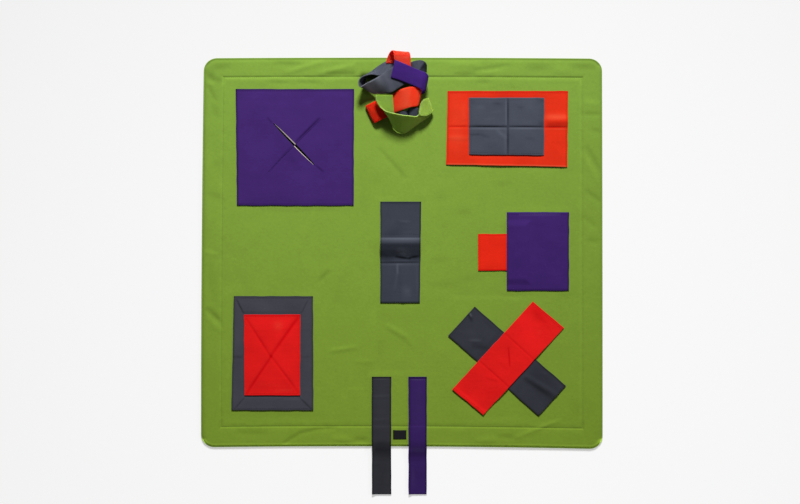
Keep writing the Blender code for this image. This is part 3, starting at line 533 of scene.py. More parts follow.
# ---------------------------------------------------------------- curves and noise


def smooth(t):
    t = np.clip(t, 0, 1)
    return t * t * (3 - 2 * t)


def ease(span, x):
    """0 up to the span's start, 1 from its end, eased between."""
    return smooth((x - span[0]) / (span[1] - span[0]))


def bump(distance, height, half_width):
    return height * np.exp(-((distance / half_width) ** 2))


def along_table(table, x):
    """Values at x of a table of (x, value) rows in rising order, eased between rows."""
    at, value = np.array(table, float).T
    index = np.clip(np.searchsorted(at, x) - 1, 0, len(at) - 2)
    share = smooth((x - at[index]) / (at[index + 1] - at[index]))
    return value[index] + (value[index + 1] - value[index]) * share


def uneven(x, y, spacing, draw):
    """Soft noise from -1 to 1 with hills this far apart, always the same for one draw."""
    lattice = np.random.default_rng(draw).uniform(-1, 1, (64, 64))
    u, v = x / spacing + 640.5, y / spacing + 640.5
    column, row = np.floor(u).astype(int), np.floor(v).astype(int)
    s, t = smooth(u - column), smooth(v - row)
    column, row = column % 63, row % 63
    low = lattice[row, column] * (1 - s) + lattice[row, column + 1] * s
    high = lattice[row + 1, column] * (1 - s) + lattice[row + 1, column + 1] * s
    return low * (1 - t) + high * t


def to_segment(x, y, x0, y0, x1, y1):
    """(distance to the segment, share of the way along it)."""
    dx, dy = x1 - x0, y1 - y0
    share = np.clip(((x - x0) * dx + (y - y0) * dy) / (dx * dx + dy * dy), 0, 1)
    return np.hypot(x - x0 - share * dx, y - y0 - share * dy), share


def outside(x, y, low, high):
    """How far points lie outside a box between two corners, below 0 inside it."""
    return np.maximum(np.maximum(low[0] - x, x - high[0]), np.maximum(low[1] - y, y - high[1]))


def folded(x, y, folds, spread=1.0):
    """(rise, painted shade) of a table of folds at these points, each fold softer at its ends."""
    rise, nap = np.zeros_like(x), np.zeros_like(x)
    for x0, y0, x1, y1, height, half_width, shade in folds:
        distance, share = to_segment(x, y, x0, y0, x1, y1)
        ends = 0.6 + 0.4 * np.sin(np.pi * share)
        rise += bump(distance, height, half_width) * ends
        nap += bump(distance, shade, spread * half_width) * ends
    return rise, nap


def keep_painted_shade(piece, nap):
    """Stores the light and dark painted on the cloth, which doesn't follow the lights."""
    shade = piece.data.attributes.new("nap", "FLOAT", "POINT")
    shade.data.foreach_set("value", nap.astype(np.float32))


# ---------------------------------------------------------------- modelling


def deselect():
    if bpy.context.mode != "OBJECT":
        bpy.ops.object.mode_set(mode="OBJECT")
    bpy.ops.object.select_all(action="DESELECT")


def make_active(piece):
    deselect()
    piece.select_set(True)
    bpy.context.view_layer.objects.active = piece


def grid_piece(name, columns, rows):
    """A flat grid with that many cells, and each point's shares u and v along it."""
    deselect()
    bpy.ops.mesh.primitive_grid_add(x_subdivisions=columns, y_subdivisions=rows, size=1)
    piece = bpy.context.object
    piece.name = piece.data.name = name
    at = points_of(piece)
    return piece, at[:, 0] + 0.5, at[:, 1] + 0.5


def points_of(piece):
    at = np.empty(len(piece.data.vertices) * 3)
    piece.data.vertices.foreach_get("co", at)
    return at.reshape(-1, 3)


def place(piece, x, y, z):
    """Moves the piece's points to these places in mm."""
    at = np.stack([x, y, z], axis=1) * MM
    piece.data.vertices.foreach_set("co", at.ravel())
    piece.data.update()


def add_modifier(piece, kind, **settings):
    modifier = piece.modifiers.new(kind.lower(), kind)
    for name, value in settings.items():
        setattr(modifier, name, value)
    return modifier


def apply_modifiers(piece):
    make_active(piece)
    for modifier in list(piece.modifiers):
        bpy.ops.object.modifier_apply(modifier=modifier.name)


def soften(piece, angle=40):
    make_active(piece)
    bpy.ops.object.shade_smooth_by_angle(angle=math.radians(angle))


def as_cloth(piece, thickness, materials, offset=1.0, edge=0.5):
    """Gives a sheet its thickness, with the second material on its cut edges, which it rounds."""
    for material in materials:
        piece.data.materials.append(material)
    add_modifier(
        piece, "SOLIDIFY", thickness=thickness, offset=offset, material_offset_rim=1
    )
    add_modifier(
        piece, "BEVEL", width=edge * MM, segments=2, limit_method="ANGLE",
        angle_limit=math.radians(50),
    )
    apply_modifiers(piece)
    soften(piece, 60)


def finish(piece, slot, *nodes):
    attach(piece, BODY)
    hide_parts(*nodes)


# ---------------------------------------------------------------- cloth


DEEPEST = (0.1, 0.1, 0.1)  # the least share of a colour that painted shade leaves


class Finish:
    """A new material and the nodes that are joined to its shader."""

    def __init__(self, name, roughness):
        self.material = bpy.data.materials.new(name)
        self.material.use_nodes = True
        self.nodes = self.material.node_tree.nodes
        self.links = self.material.node_tree.links
        self.shader = self.nodes["Principled BSDF"]
        self.shader.inputs["Roughness"].default_value = roughness
        self.shader.inputs["Specular IOR Level"].default_value = 0.03

    def node(self, kind, sockets=None, **settings):
        node = self.nodes.new("ShaderNode" + kind)
        for name, value in settings.items():
            setattr(node, name, value)
        for socket, value in (sockets or {}).items():
            self.feed(value, node.inputs[socket])
        return node

    def feed(self, value, socket):
        if isinstance(value, bpy.types.NodeSocket):
            self.links.new(value, socket)
        else:
            socket.default_value = value

    def noise(self, scale, detail=3.0, roughness=0.55, distortion=0.0, stretch=(1, 1, 1)):
        """A noise on Object coordinates, with scale cells to the metre."""
        coordinates = self.node("TexCoord").outputs["Object"]
        mapping = self.node("Mapping", {"Vector": coordinates, "Scale": stretch})
        settings = {"Scale": scale, "Detail": detail, "Roughness": roughness}
        settings.update(Vector=mapping.outputs["Vector"], Distortion=distortion)
        return self.node("TexNoise", settings).outputs["Fac"]

    def math(self, operation, first, second, kind="Math"):
        return self.node(kind, {0: first, 1: second}, operation=operation).outputs[0]

    def vector(self, operation, first, second):
        return self.math(operation, first, second, "VectorMath")

    def swing(self, value, amount):
        """1 + amount x (value - 0.5) x 2, for a value round 0.5."""
        return self.math("ADD", self.math("MULTIPLY", value, 2 * amount), 1 - amount)

    def tone(self, colour, factor):
        """The colour times the factor, as the shader's base colour."""
        self.links.new(self.scaled(colour, factor), self.shader.inputs["Base Color"])

    def scaled(self, colour, factor):
        return self.node("VectorMath", {0: colour, "Scale": factor}, operation="SCALE").outputs[0]

    def with_painted_shade(self, colour, factor, painted_highlight, deepen=(1, 1, 1)):
        """The same, darkened by painted shade where the piece's painted shade is below 0, with a
        painted highlight added where it is above.
        """
        nap = self.node("Attribute", attribute_name="nap").outputs["Fac"]
        dark = self.vector("ADD", self.scaled(deepen, self.math("MINIMUM", nap, 0.0)), (1, 1, 1))
        dark = self.vector("MAXIMUM", dark, DEEPEST)
        deep = self.vector("MULTIPLY", self.scaled(colour, factor), dark)
        light = self.scaled(painted_highlight, self.math("MAXIMUM", nap, 0.0))
        self.links.new(self.vector("ADD", deep, light), self.shader.inputs["Base Color"])

    def shaded(self, high, low, reach):
        """One colour at y = reach, the other at y = -reach, and between them in between."""
        place_at = self.node("TexCoord").outputs["Object"]
        along = self.node("SeparateXYZ", {"Vector": place_at}).outputs["Y"]
        share = self.node(
            "MapRange", {"Value": along, "From Min": reach, "From Max": -reach}, clamp=True
        ).outputs["Result"]
        mix = self.node("Mix", {"Factor": share}, data_type="RGBA")
        colour_a, colour_b = [s for s in mix.inputs if s.name in "AB" and s.type == "RGBA"]
        colour_a.default_value = (*high, 1)
        colour_b.default_value = (*low, 1)
        return next(s for s in mix.outputs if s.type == "RGBA")

    def relief(self, height, distance, strength=1.0, under=None):
        settings = {"Height": height, "Distance": distance, "Strength": strength}
        if under is not None:
            settings["Normal"] = under
        return self.node("Bump", settings).outputs["Normal"]

    def sheen(self, weight, roughness, tint):
        self.shader.inputs["Sheen Weight"].default_value = weight
        self.shader.inputs["Sheen Roughness"].default_value = roughness
        self.shader.inputs["Sheen Tint"].default_value = (*tint, 1)


def fleece(name, colour, low_colour):
    """Short brushed pile: fine fibres, small tufts, patches where the pile leans, and painted light
    and shade.
    """
    f = Finish(name, 0.95)
    # the colour passes down the mat from the top colour to the bottom one: painted shade, darker
    # and less blue towards the bottom
    colour = f.shaded(colour, low_colour, MAT_LENGTH / 2 * MM)
    fibres = f.noise(900, 4, 0.65)
    tufts = f.noise(170, 4, 0.6, 0.4)
    brushed = f.noise(34, 4, 0.6, 0.6)
    tone = f.math("MULTIPLY", f.swing(fibres, 0.16), f.swing(tufts, 0.10))
    tone = f.math("MULTIPLY", tone, f.swing(brushed, 0.07))
    f.with_painted_shade(colour, tone, colour)
    tufted = f.relief(tufts, 0.5 * MM, 0.45)
    f.links.new(f.relief(fibres, 0.25 * MM, 0.5, tufted), f.shader.inputs["Normal"])
    f.sheen(0.05, 0.45, (0.5, 0.6, 0.4))
    return f.material


def felt(name, colour, painted_highlight=(0.05, 0.05, 0.05), deepen=(1, 1, 1), pale=0.0):
    """Pressed fibres: long faint streaks, short fibres and a fine matted surface, with painted
    light and shade.
    """
    colour = [c + (0.75 - c) * pale for c in colour]
    f = Finish(name, 0.93)
    fibres = f.noise(1100, 4, 0.65)
    matted = f.noise(260, 3, 0.6, 0.3)
    streaks = f.noise(60, 4, 0.6, 0.2, (0.22, 2.6, 1))
    clouds = f.noise(22, 3, 0.5)
    tone = f.math("MULTIPLY", f.swing(fibres, 0.14), f.swing(matted, 0.10))
    tone = f.math("MULTIPLY", tone, f.swing(streaks, 0.07))
    tone = f.math("MULTIPLY", tone, f.swing(clouds, 0.15))
    f.with_painted_shade(colour, tone, painted_highlight, deepen)
    matted_bump = f.relief(matted, 0.3 * MM, 0.35)
    f.links.new(f.relief(fibres, 0.2 * MM, 0.45, matted_bump), f.shader.inputs["Normal"])
    f.sheen(0.02, 0.4, [0.4 + 0.6 * c for c in colour])
    return f.material


def weave(name, colour):
    """Fine satin-woven tape."""
    f = Finish(name, 0.55)
    warp = f.noise(2600, 2, 0.5, 0.0, (0.2, 1, 1))
    weft = f.noise(1500, 2, 0.5, 0.0, (1, 0.2, 1))
    f.tone(colour, f.math("MULTIPLY", f.swing(warp, 0.3), f.swing(weft, 0.3)))
    f.links.new(f.relief(warp, 0.1 * MM, 0.5), f.shader.inputs["Normal"])
    return f.material


def thread(name, colour):
    """Twisted sewing thread."""
    f = Finish(name, 0.6)
    f.tone(colour, f.swing(f.noise(3000, 2, 0.5), 0.25))
    f.sheen(0.05, 0.4, (1, 1, 1))
    return f.material


# Each piece's own correction of its felt's colour, factors of red, green and blue: besides the
# felt's own colour they hold painted light and shade
PIECE_TINTS_AND_LIGHT = {
    "slit_square": (1.08, 1.20, 1.05),
    "pocket_felt": (0.96, 1.04, 0.98),
    "strap_purple_felt": (0.82, 0.97, 0.83),
    "red_flap_felt": (0.91, 1.36, 1.2),
    "red_tab_felt": (1.01, 1.0, 1.05),
    "frame_red_felt": (1.05, 0.56, 1.62),
    "cross_red_felt": (1.02, 0.58, 1.6),
    "strip_red_top_felt": (0.91, 2.5, 3.5),
    "strip_red_middle_felt": (1.12, 2.15, 1.9),
    "strip_red_left_felt": (0.9, 1.2, 1.0),
    "strip_purple_felt": (1.17, 1.15, 1.34),
    "grey_flap_felt": (1.02, 1.04, 1.06),
    "tunnel_felt": (0.79, 0.82, 0.84),
    "frame_grey_felt": (1.0, 0.92, 0.87),
    "cross_grey_felt": (0.65, 0.62, 0.60),
    "strap_grey_felt": (0.62, 0.57, 0.52),
}
EDGE_PALE = {"purple": 0.05, "red": 0.04, "grey": 0.05, "green": 0.06}
# Colour that a painted highlight adds, at a painted shade of 1
PAINTED_HIGHLIGHTS = {
    "purple": (0.050, 0.045, 0.075),
    "red": (0.10, 0.21, 0.10),
    "grey": (0.040, 0.042, 0.050),
    "green": (0.13, 0.15, 0.03),
}
# How strongly painted shade takes each colour away
DEEPEN = {
    "purple": (1, 1.1, 0.95),
    "red": (0.52, 2.1, 1.5),
    "grey": (1, 1, 1),
    "green": (1, 1, 1),
}
# How much light comes through a thin strip, and how far in red, green and blue, in mm
THIN_GLOW = {
    "purple": (0.3, 1, 0.5, 3),
    "red": (0.95, 9, 0.6, 0.5),
    "grey": (0.3, 1, 1, 1),
    "green": (0.8, 4, 5, 1),
}


def cloth(piece, kind, thin=False):
    """The felt of a piece's face and of its cut edge; light comes through the thin kind."""
    # the piece's factors hold painted light and shade as well as its felt's own colour
    tint_and_light = PIECE_TINTS_AND_LIGHT.get(piece, (1, 1, 1))
    colour = [c * share for c, share in zip(getattr(colours(), kind), tint_and_light)]
    face = felt(f"{piece}_face", colour, PAINTED_HIGHLIGHTS[kind], DEEPEN[kind])
    cut = felt(f"{piece}_cut", colour, (0, 0, 0), DEEPEN[kind], EDGE_PALE[kind])
    for material in (face, cut) if thin else ():
        inputs = material.node_tree.nodes["Principled BSDF"].inputs
        inputs["Subsurface Weight"].default_value, *radius = THIN_GLOW[kind]
        inputs["Subsurface Radius"].default_value = radius
        inputs["Subsurface Scale"].default_value = MM
    return face, cut


# ---------------------------------------------------------------- mat


def mat_lines(half):
    """Where the mat's rows of points lie along one axis, in mm."""
    inner = half - MAT_STEPS[-1] - FIELD_PITCH
    count = round(2 * inner / FIELD_PITCH)
    outer = [half - inset for inset in MAT_STEPS]
    field = [-inner + 2 * inner * i / count for i in range(count + 1)]
    return np.array([-x for x in outer] + field + outer[::-1])


def round_corner(x, y):
    """Moves points of the square's corners onto rings about the corners' centres."""
    cx, cy = MAT_WIDTH / 2 - MAT_CORNER_RADIUS, MAT_LENGTH / 2 - MAT_CORNER_RADIUS
    dx, dy = abs(x) - cx, abs(y) - cy
    corner = (dx > 0) & (dy > 0)
    reach = np.where(corner, np.maximum(dx, dy) / np.maximum(np.hypot(dx, dy), 1e-9), 1)
    return (
        np.where(corner, np.copysign(cx + dx * reach, x), x),
        np.where(corner, np.copysign(cy + dy * reach, y), y),
    )


def inset_of(x, y):
    """Distance of points on the true outline's mat from that outline."""
    cx, cy = MAT_WIDTH / 2 - MAT_CORNER_RADIUS, MAT_LENGTH / 2 - MAT_CORNER_RADIUS
    dx, dy = abs(x) - cx, abs(y) - cy
    ring = np.hypot(np.maximum(dx, 0), np.maximum(dy, 0))
    return MAT_CORNER_RADIUS - np.where((dx > 0) & (dy > 0), ring, np.maximum(dx, dy))


def as_sewn(x, y):
    """Moves points of the true outline's mat to where they lie in the sewn one."""
    u, v = x / MAT_WIDTH + 0.5, y / MAT_LENGTH + 0.5
    low_left, low_right, high_right, high_left = np.array(MAT_CORNER_SHIFTS)[:, :, None]
    shift = (low_left * (1 - u) + low_right * u) * (1 - v)
    shift = shift + (high_left * (1 - u) + high_right * u) * v
    right = MAT_SIDE_BOWS["right"] * u - MAT_SIDE_BOWS["left"] * (1 - u)
    top = MAT_SIDE_BOWS["top"] * v - MAT_SIDE_BOWS["bottom"] * (1 - v)
    seam_x, seam_y = MAT_WIDTH / 2 - SEAM_INSET, MAT_LENGTH / 2 - SEAM_INSET
    at_sides, at_bottom = SEAM_DRAWS
    right = right * 4 * v * (1 - v) + bump(x + seam_x, at_sides, SEAM_DRAW_REACH)
    right -= bump(x - seam_x, at_sides, SEAM_DRAW_REACH)
    top = top * 4 * u * (1 - u) + bump(y + seam_y, at_bottom, SEAM_DRAW_REACH)
    return x + shift[0] + right, y + shift[1] + top


def patch_boxes():
    """(x low, y low, x high, y high) of each stretch of mat that something is sewn to."""
    tangle = [row for _, rows in STRIPS.values() for row in rows]
    rungs = [row[:2] for row in tangle] + [row[3:5] for row in tangle]
    straps = [(STRAP_GREY_X[0], STRAP_PROFILE[0][0]), (STRAP_PURPLE_X[1], STRAP_PROFILE[-1][0])]
    band = [(TUNNEL_X[0], TUNNEL_PROFILE[0][0]), (TUNNEL_X[1], TUNNEL_PROFILE[-1][0])]
    outlines = (
        PURPLE_SQUARE, RED_FLAP, RED_TAB, PURPLE_POCKET, FRAME_GREY, LABEL, straps, band, rungs,
    )
    boxes = [(*np.min(outline, axis=0), *np.max(outline, axis=0)) for outline in outlines]
    for a, b, c, d in np.array((CROSS_GREY, CROSS_RED), float):
        for share in np.linspace(0, 1, 7):
            low = np.minimum(a, d) * (1 - share) + np.minimum(b, c) * share
            high = np.maximum(a, d) * (1 - share) + np.maximum(b, c) * share
            boxes.append((*low, *high))
    return boxes


def open_fleece(x, y):
    """1 on open fleece, falling to 0 towards a sewn-on piece."""
    nearest = np.full_like(x, 1e9)
    for x0, y0, x1, y1 in patch_boxes():
        away = np.hypot(
            np.maximum(np.maximum(x0 - x, x - x1), 0), np.maximum(np.maximum(y0 - y, y - y1), 0)
        )
        nearest = np.minimum(nearest, away)
    return ease(FOLD_CLEARANCE, nearest)


def rim_shade(x, y, inset):
    """The light and dark painted along the mat's edges and beside its seam, side by side."""
    top, bottom = ease((330, 335), y), ease((-330, -335), y)
    sides = {
        "top edge": ease((370, 376), y),
        "bottom edge": ease((-370, -376), y),
        "top seam": top,
        "top seam, left": top * ease((-170, -215), x),
        "bottom seam": bottom,
        "right seam": ease((330, 345), x) * ease((350, 335), abs(y)),
    }
    return sum(bump(inset - at, shade, half) * sides[side] for side, at, shade, half in RIM_SHADES)


def build_mat():
    columns, rows = mat_lines(MAT_WIDTH / 2), mat_lines(MAT_LENGTH / 2)
    mat, u, v = grid_piece("fleece_mat", len(columns) - 1, len(rows) - 1)
    x = columns[np.round(u * (len(columns) - 1)).astype(int)]
    y = rows[np.round(v * (len(rows) - 1)).astype(int)]
    x, y = round_corner(x, y)
    inset = inset_of(x, y)
    x, y = as_sewn(x, y)
    free = open_fleece(x, y) * ease(FOLD_EDGE, inset)
    relief, nap = folded(x, y, MAT_FOLDS, FOLD_SPREAD)
    for spacing, height, draw in MAT_UNEVEN:
        relief += height * uneven(x, y, spacing, draw)
    height, half_width, spacing, draw = SEAM_PUCKER
    pucker = uneven(x, y, spacing, draw) * bump(inset - SEAM_INSET, height, half_width)
    drop = BOTTOM_RIM_DROP * ease((4, 0), inset) * ease((-380, -386), y)
    place(mat, x, y, along_table(BORDER_PROFILE, inset) + relief * free + pucker - drop)
    # painted light and shade of the fleece: the folds' shades, darker to the right and at both
    # sides, deep shade in two hollows, lines along rim and seam
    nap = nap * free - MAT_RIGHT_SHADE * x / MAT_WIDTH - MAT_SIDES * (2 * x / MAT_WIDTH) ** 2
    for x0, y0, x1, y1, half_width, shade in MAT_HOLLOWS:
        nap += bump(to_segment(x, y, x0, y0, x1, y1)[0], shade, half_width)
    keep_painted_shade(mat, nap + rim_shade(x, y, inset))
    lower_rim(mat)
    pile = fleece("fleece_green", list(colours().green), list(colours().green_shaded_bottom))
    mat.data.materials.append(pile)
    soften(mat, 60)
    finish(mat, "green", "mat")


def lower_rim(mat):
    """Turns the mat's open rim down to the floor and closes the underside."""
    make_active(mat)
    bpy.ops.object.mode_set(mode="EDIT")
    bpy.ops.mesh.select_mode(type="EDGE")
    bpy.ops.mesh.select_all(action="DESELECT")
    bpy.ops.mesh.select_non_manifold()
    for height, inset in ((MAT_EDGE_LOW, 0.0), (0.0, MAT_EDGE_BULGE)):
        bpy.ops.mesh.extrude_region_move()
        bm = bmesh.from_edit_mesh(mat.data)
        for vertex in bm.verts:
            if vertex.select:
                outward = vertex.co.xy.normalized()
                vertex.co = (*(vertex.co.xy - outward * inset * MM), height * MM)
        bmesh.update_edit_mesh(mat.data)
    bpy.ops.mesh.edge_face_add()
    bpy.ops.mesh.select_all(action="SELECT")
    bpy.ops.mesh.normals_make_consistent(inside=False)
    bpy.ops.object.mode_set(mode="OBJECT")


# ---------------------------------------------------------------- flat felt pieces


def between(corners, u, v):
    """Points at shares u and v of a four-cornered outline, in mm."""
    a, b, c, d = np.array(corners, float)
    u, v = u[:, None], v[:, None]
    at = (a * (1 - u) + b * u) * (1 - v) + (d * (1 - u) + c * u) * v
    return at[:, 0], at[:, 1]


def sides_of(corners):
    """(mean width, mean length, area) of a four-cornered cut, in metres."""
    a, b, c, d = [Vector(corner) * MM for corner in corners]
    width = max((b - a).length, (c - d).length)
    length = max((d - a).length, (c - b).length)
    area = abs((c - a).cross(d - b)) / 2
    return width, length, area


def felt_lines(side):
    """Shares of a side of felt, in mm, where its points lie: closer at both cut edges."""
    inner = side - 2 * EDGE_STEPS[-1]
    count = round(inner / PANEL_PITCH)
    middle = [EDGE_STEPS[-1] + inner * i / count for i in range(count + 1)]
    return np.array([*EDGE_STEPS[:-1], *middle, *(side - s for s in EDGE_STEPS[-2::-1])]) / side


def felt_grid(name, width, length):
    """A grid for a sheet of felt, and each point's shares of the width and the length."""
    across, along = felt_lines(width), felt_lines(length)
    piece, u, v = grid_piece(name, len(across) - 1, len(along) - 1)
    u = across[np.round(u * (len(across) - 1)).astype(int)]
    v = along[np.round(v * (len(along) - 1)).astype(int)]
    return piece, u, v


def edge_shade(name, u, v, width, length):
    """The painted shade and light of the lines along a sheet's cut edges."""
    inward = (v * length, (1 - u) * width, (1 - v) * length, u * width)
    shades = EDGE_SHADES.get(name, (0, 0, 0, 0))
    return sum(
        bump(away - EDGE_SHADE_INSET, shade, EDGE_SHADE_HALF)
        for away, shade in zip(inward, shades)
    )


def panel(name, corners, height_at, kind, thickness=None, draw=1):
    """A flat sheet whose underside is at height_at(x, y, u, v), in mm."""
    width, length, area = sides_of(corners)
    piece, u, v = felt_grid(name, width / MM, length / MM)
    x, y = between(corners, u, v)
    across, along = (uneven(x, y, EDGE_WANDER_SPACING, d) for d in (draw, draw + 50))
    x, y = x + EDGE_WANDER * across, y + EDGE_WANDER * along
    base = height_at(x, y, u, v)
    # the folds give relief and painted light and shade; the cut edges get painted lines
    rise, nap = folded(x, y, FELT_FOLDS.get(name, ()))
    place(piece, x, y, np.maximum(base + rise, base.min()))
    keep_painted_shade(piece, nap + edge_shade(name, u, v, width / MM, length / MM))
    materials = (kind, kind) if isinstance(kind, bpy.types.Material) else cloth(name, kind)
    as_cloth(piece, thickness or sizes().felt, materials)
    return piece


def wavy(x, y, height, draw):
    """A soft lift of the cloth from 0 to height."""
    return height * (0.5 + 0.3 * uneven(x, y, 34, draw) + 0.2 * uneven(x, y, 15, draw + 1))


def edge_share(u, v):
    return np.minimum(np.minimum(u, 1 - u), np.minimum(v, 1 - v))


def felt_top():
    """Where a second layer of felt lies, in mm."""
    return ON_MAT + sizes().felt / MM + GAP


def build_slit_square():
    def lift(x, y, u, v):
        from_centre = np.hypot(x - SLIT_CENTRE[0], y - SLIT_CENTRE[1])
        tongues = SLIT_LIFT * (1 - ease((0, SLIT_REACH), from_centre))
        return ON_MAT + tongues + wavy(x, y, 0.8, 31) * ease((0, 0.08), edge_share(u, v))

    square = panel("slit_square", PURPLE_SQUARE, lift, "purple", draw=3)
    cut_line(square, slit_ends(), SLIT_WIDTH)
    cut_line(square, CROSS_SLIT, CROSS_SLIT_WIDTH)
    show_pale_walls(square)
    soften(square, 60)
    finish(square, "purple", "purple_square")


def slit_ends():
    half = SLIT_LENGTH / 2
    along = np.array([math.cos(math.radians(SLIT_ANGLE)), math.sin(math.radians(SLIT_ANGLE))])
    return np.array(SLIT_CENTRE) - half * along, np.array(SLIT_CENTRE) + half * along


def cut_line(piece, ends, width):
    """Cuts a long pointed slit between two ends, in mm, through the piece."""
    start, end = Vector(ends[0]), Vector(ends[1])
    deselect()
    bpy.ops.mesh.primitive_cylinder_add(vertices=32, radius=0.5, depth=1)
    cutter = bpy.context.object
    bpy.ops.object.mode_set(mode="EDIT")
    bpy.ops.mesh.select_all(action="SELECT")
    bpy.ops.transform.resize(value=((end - start).length * MM, width * MM, CUTTER_HEIGHT * MM))
    bpy.ops.object.mode_set(mode="OBJECT")
    cutter.location = (*((start + end) / 2 * MM), ON_MAT * MM)
    cutter.rotation_euler.z = math.atan2(end.y - start.y, end.x - start.x)
    bpy.context.view_layer.update()
    add_modifier(piece, "BOOLEAN", operation="DIFFERENCE", object=cutter, solver="EXACT")
    apply_modifiers(piece)
    bpy.data.objects.remove(cutter, do_unlink=True)


def show_pale_walls(square):
    """Leans the open slit's cut walls out and paints them pale, as the light line along the open
    cut: the upper lip's at the left half, the lower lip's at the right half."""
    square.data.materials.append(felt("felt_core", list(colours().cut)))
    pale_wall = len(square.data.materials) - 1
    start, end = slit_ends()
    along = (end - start) / SLIT_LENGTH
    across = np.array([-along[1], along[0]])
    bm = bmesh.new()
    bm.from_mesh(square.data)
    most_upward, least_sideways = SLIT_WALL_FACING
    low = {}
    for face in bm.faces:
        middle = face.calc_center_median()
        centre = np.array(middle)[:2] / MM - np.array(SLIT_CENTRE)
        far, off = centre @ along, centre @ across
        if abs(face.normal.z) > most_upward or abs(off) > SLIT_WIDTH:
            continue
        sideways = abs(Vector(face.normal.xy).normalized() @ Vector(across))
        if sideways < least_sideways or abs(far) > SLIT_LENGTH / 2:
            continue
        if (far < SLIT_PALE_CHANGE) == (off > 0):
            face.material_index = pale_wall
            low.update({v: off for v in face.verts if v.co.z < middle.z})
    for vertex, off in low.items():
        at = (np.array(vertex.co)[:2] / MM - np.array(SLIT_CENTRE)) @ along
        taper = max(1 - (at / (SLIT_LENGTH / 2)) ** 2, 0) ** SLIT_LEAN_TAPER
        lean = SLIT_LEANS[0 if off > 0 else 1] * taper
        shift = -math.copysign(lean, off) * across * MM
        rise = 0.6 * sizes().felt if off > 0 else 0
        vertex.co += Vector((*shift, rise))
    bm.to_mesh(square.data)
    bm.free()


def build_flaps():
    def red_height(x, y, u, v):
        wave_x, wave, wave_half = RED_FLAP_WAVE
        loose = (RED_FLAP_LOOSE + bump(x - wave_x, wave, wave_half)) * (1 - ease((0, 0.12), v))
        puff_y, puff, puff_half = RED_FLAP_PUFF
        puff = bump(y - puff_y, puff, puff_half) * ease(RED_FLAP_PUFF_X, x)
        soft = (0.5 + wavy(x, y, 0.5, 33)) * ease((0, 0.05), np.minimum(u, 1 - u))
        beside_grey = ease((-6, 6), outside(x, y, *GREY_FLAP_BED))
        return ON_MAT + np.maximum(loose + puff + soft * beside_grey, 0)

    red = panel("red_flap_felt", RED_FLAP, red_height, "red", draw=5)
    finish(red, "red", "red_flap")

    def grey_height(x, y, u, v):
        pillow = GREY_FLAP_RISE * ease((0, 0.05), np.minimum(u, 1 - u))
        return felt_top() + pillow + wavy(x, y, 0.6, 35) * ease((0, 0.1), edge_share(u, v))

    grey = panel("grey_flap_felt", GREY_FLAP, grey_height, "grey")
    finish(grey, "grey", "grey_flap")


def build_pocket():
    def tab_height(x, y, u, v):
        return ON_MAT + wavy(x, y, 0.6, 37) * ease((0, 0.15), edge_share(u, v))

    tab = panel("red_tab_felt", RED_TAB, tab_height, "red", draw=7)
    finish(tab, "red", "red_tab")

    def pocket_height(x, y, u, v):
        slope = ease(POCKET_SLOPE, outside(x, y, RED_TAB[0], RED_TAB[2]))
        over = (felt_top() - ON_MAT + POCKET_RISE) * (1 - slope)
        return ON_MAT + over + wavy(x, y, 0.8, 39) * ease((0, 0.1), edge_share(u, v))

    pocket = panel("pocket_felt", PURPLE_POCKET, pocket_height, "purple", draw=9)
    finish(pocket, "purple", "purple_pocket")


def beside_band(x, y, start, end):
    """How far points lie beside a band that runs between two cut ends."""
    start, end = np.array(start, float), np.array(end, float)
    middle = start.mean(axis=0)
    along = end.mean(axis=0) - middle
    along /= np.linalg.norm(along)
    off = abs((x - middle[0]) * along[1] - (y - middle[1]) * along[0])
    return off - np.linalg.norm(start[0] - start[1]) / 2


def build_crossed_bands():
    def grey_height(x, y, u, v):
        clear = ease(CROSS_CLEARANCE, beside_band(x, y, CROSS_RED[:2], CROSS_RED[2:]))
        return ON_MAT + (0.3 + wavy(x, y, 0.6, 41)) * clear

    grey = panel("cross_grey_felt", CROSS_GREY, grey_height, "grey", draw=11)
    finish(grey, "grey", "cross_grey")

    def red_height(x, y, u, v):
        beside = beside_band(x, y, (CROSS_GREY[0], CROSS_GREY[3]), CROSS_GREY[1:3])
        down = (felt_top() - ON_MAT) * ease(CROSS_SLOPE, beside)
        soft = (0.15 + wavy(x, y, 0.4, 43)) * ease((0, 0.04), v)
        return felt_top() - down + soft + CROSS_END_LIFT * (1 - ease((0, 0.05), v))

    red = panel("cross_red_felt", CROSS_RED, red_height, "red", draw=13)
    finish(red, "red", "cross_red")


def build_frame():
    def grey_height(x, y, u, v):
        soft = wavy(x, y, 0.5, 45) * ease((0, 0.1), edge_share(u, v))
        return ON_MAT + (0.4 + soft) * ease((0, 8), outside(x, y, *FRAME_RED_BED))

    grey = panel("frame_grey_felt", FRAME_GREY, grey_height, "grey", draw=15)
    finish(grey, "grey", "frame_grey")

    def red_height(x, y, u, v):
        inside = ease((0, 0.2), edge_share(u, v))
        return felt_top() + FRAME_PILLOW * (0.4 + 0.6 * inside) + wavy(x, y, 0.5, 47) * inside

    red = panel("frame_red_felt", FRAME_RED, red_height, "red")
    finish(red, "red", "frame_red")


# ---------------------------------------------------------------- bands and straps


def smooth_line(points, steps):
    """A smooth line through the points, with steps pieces between two of them."""
    points = np.array(points, float)
    ends = np.vstack([2 * points[0] - points[1], points, 2 * points[-1] - points[-2]])
    t = np.linspace(0, 1, steps, endpoint=False)[:, None]
    line = []
    for before, a, b, after in zip(ends, ends[1:], ends[2:], ends[3:]):
        slope = (b - before) / 2
        curve = before - 2.5 * a + 2 * b - after / 2
        twist = 1.5 * (a - b) + (after - before) / 2
        line.append(a + slope * t + curve * t**2 + twist * t**3)
    return np.vstack(line + [points[-1:]])


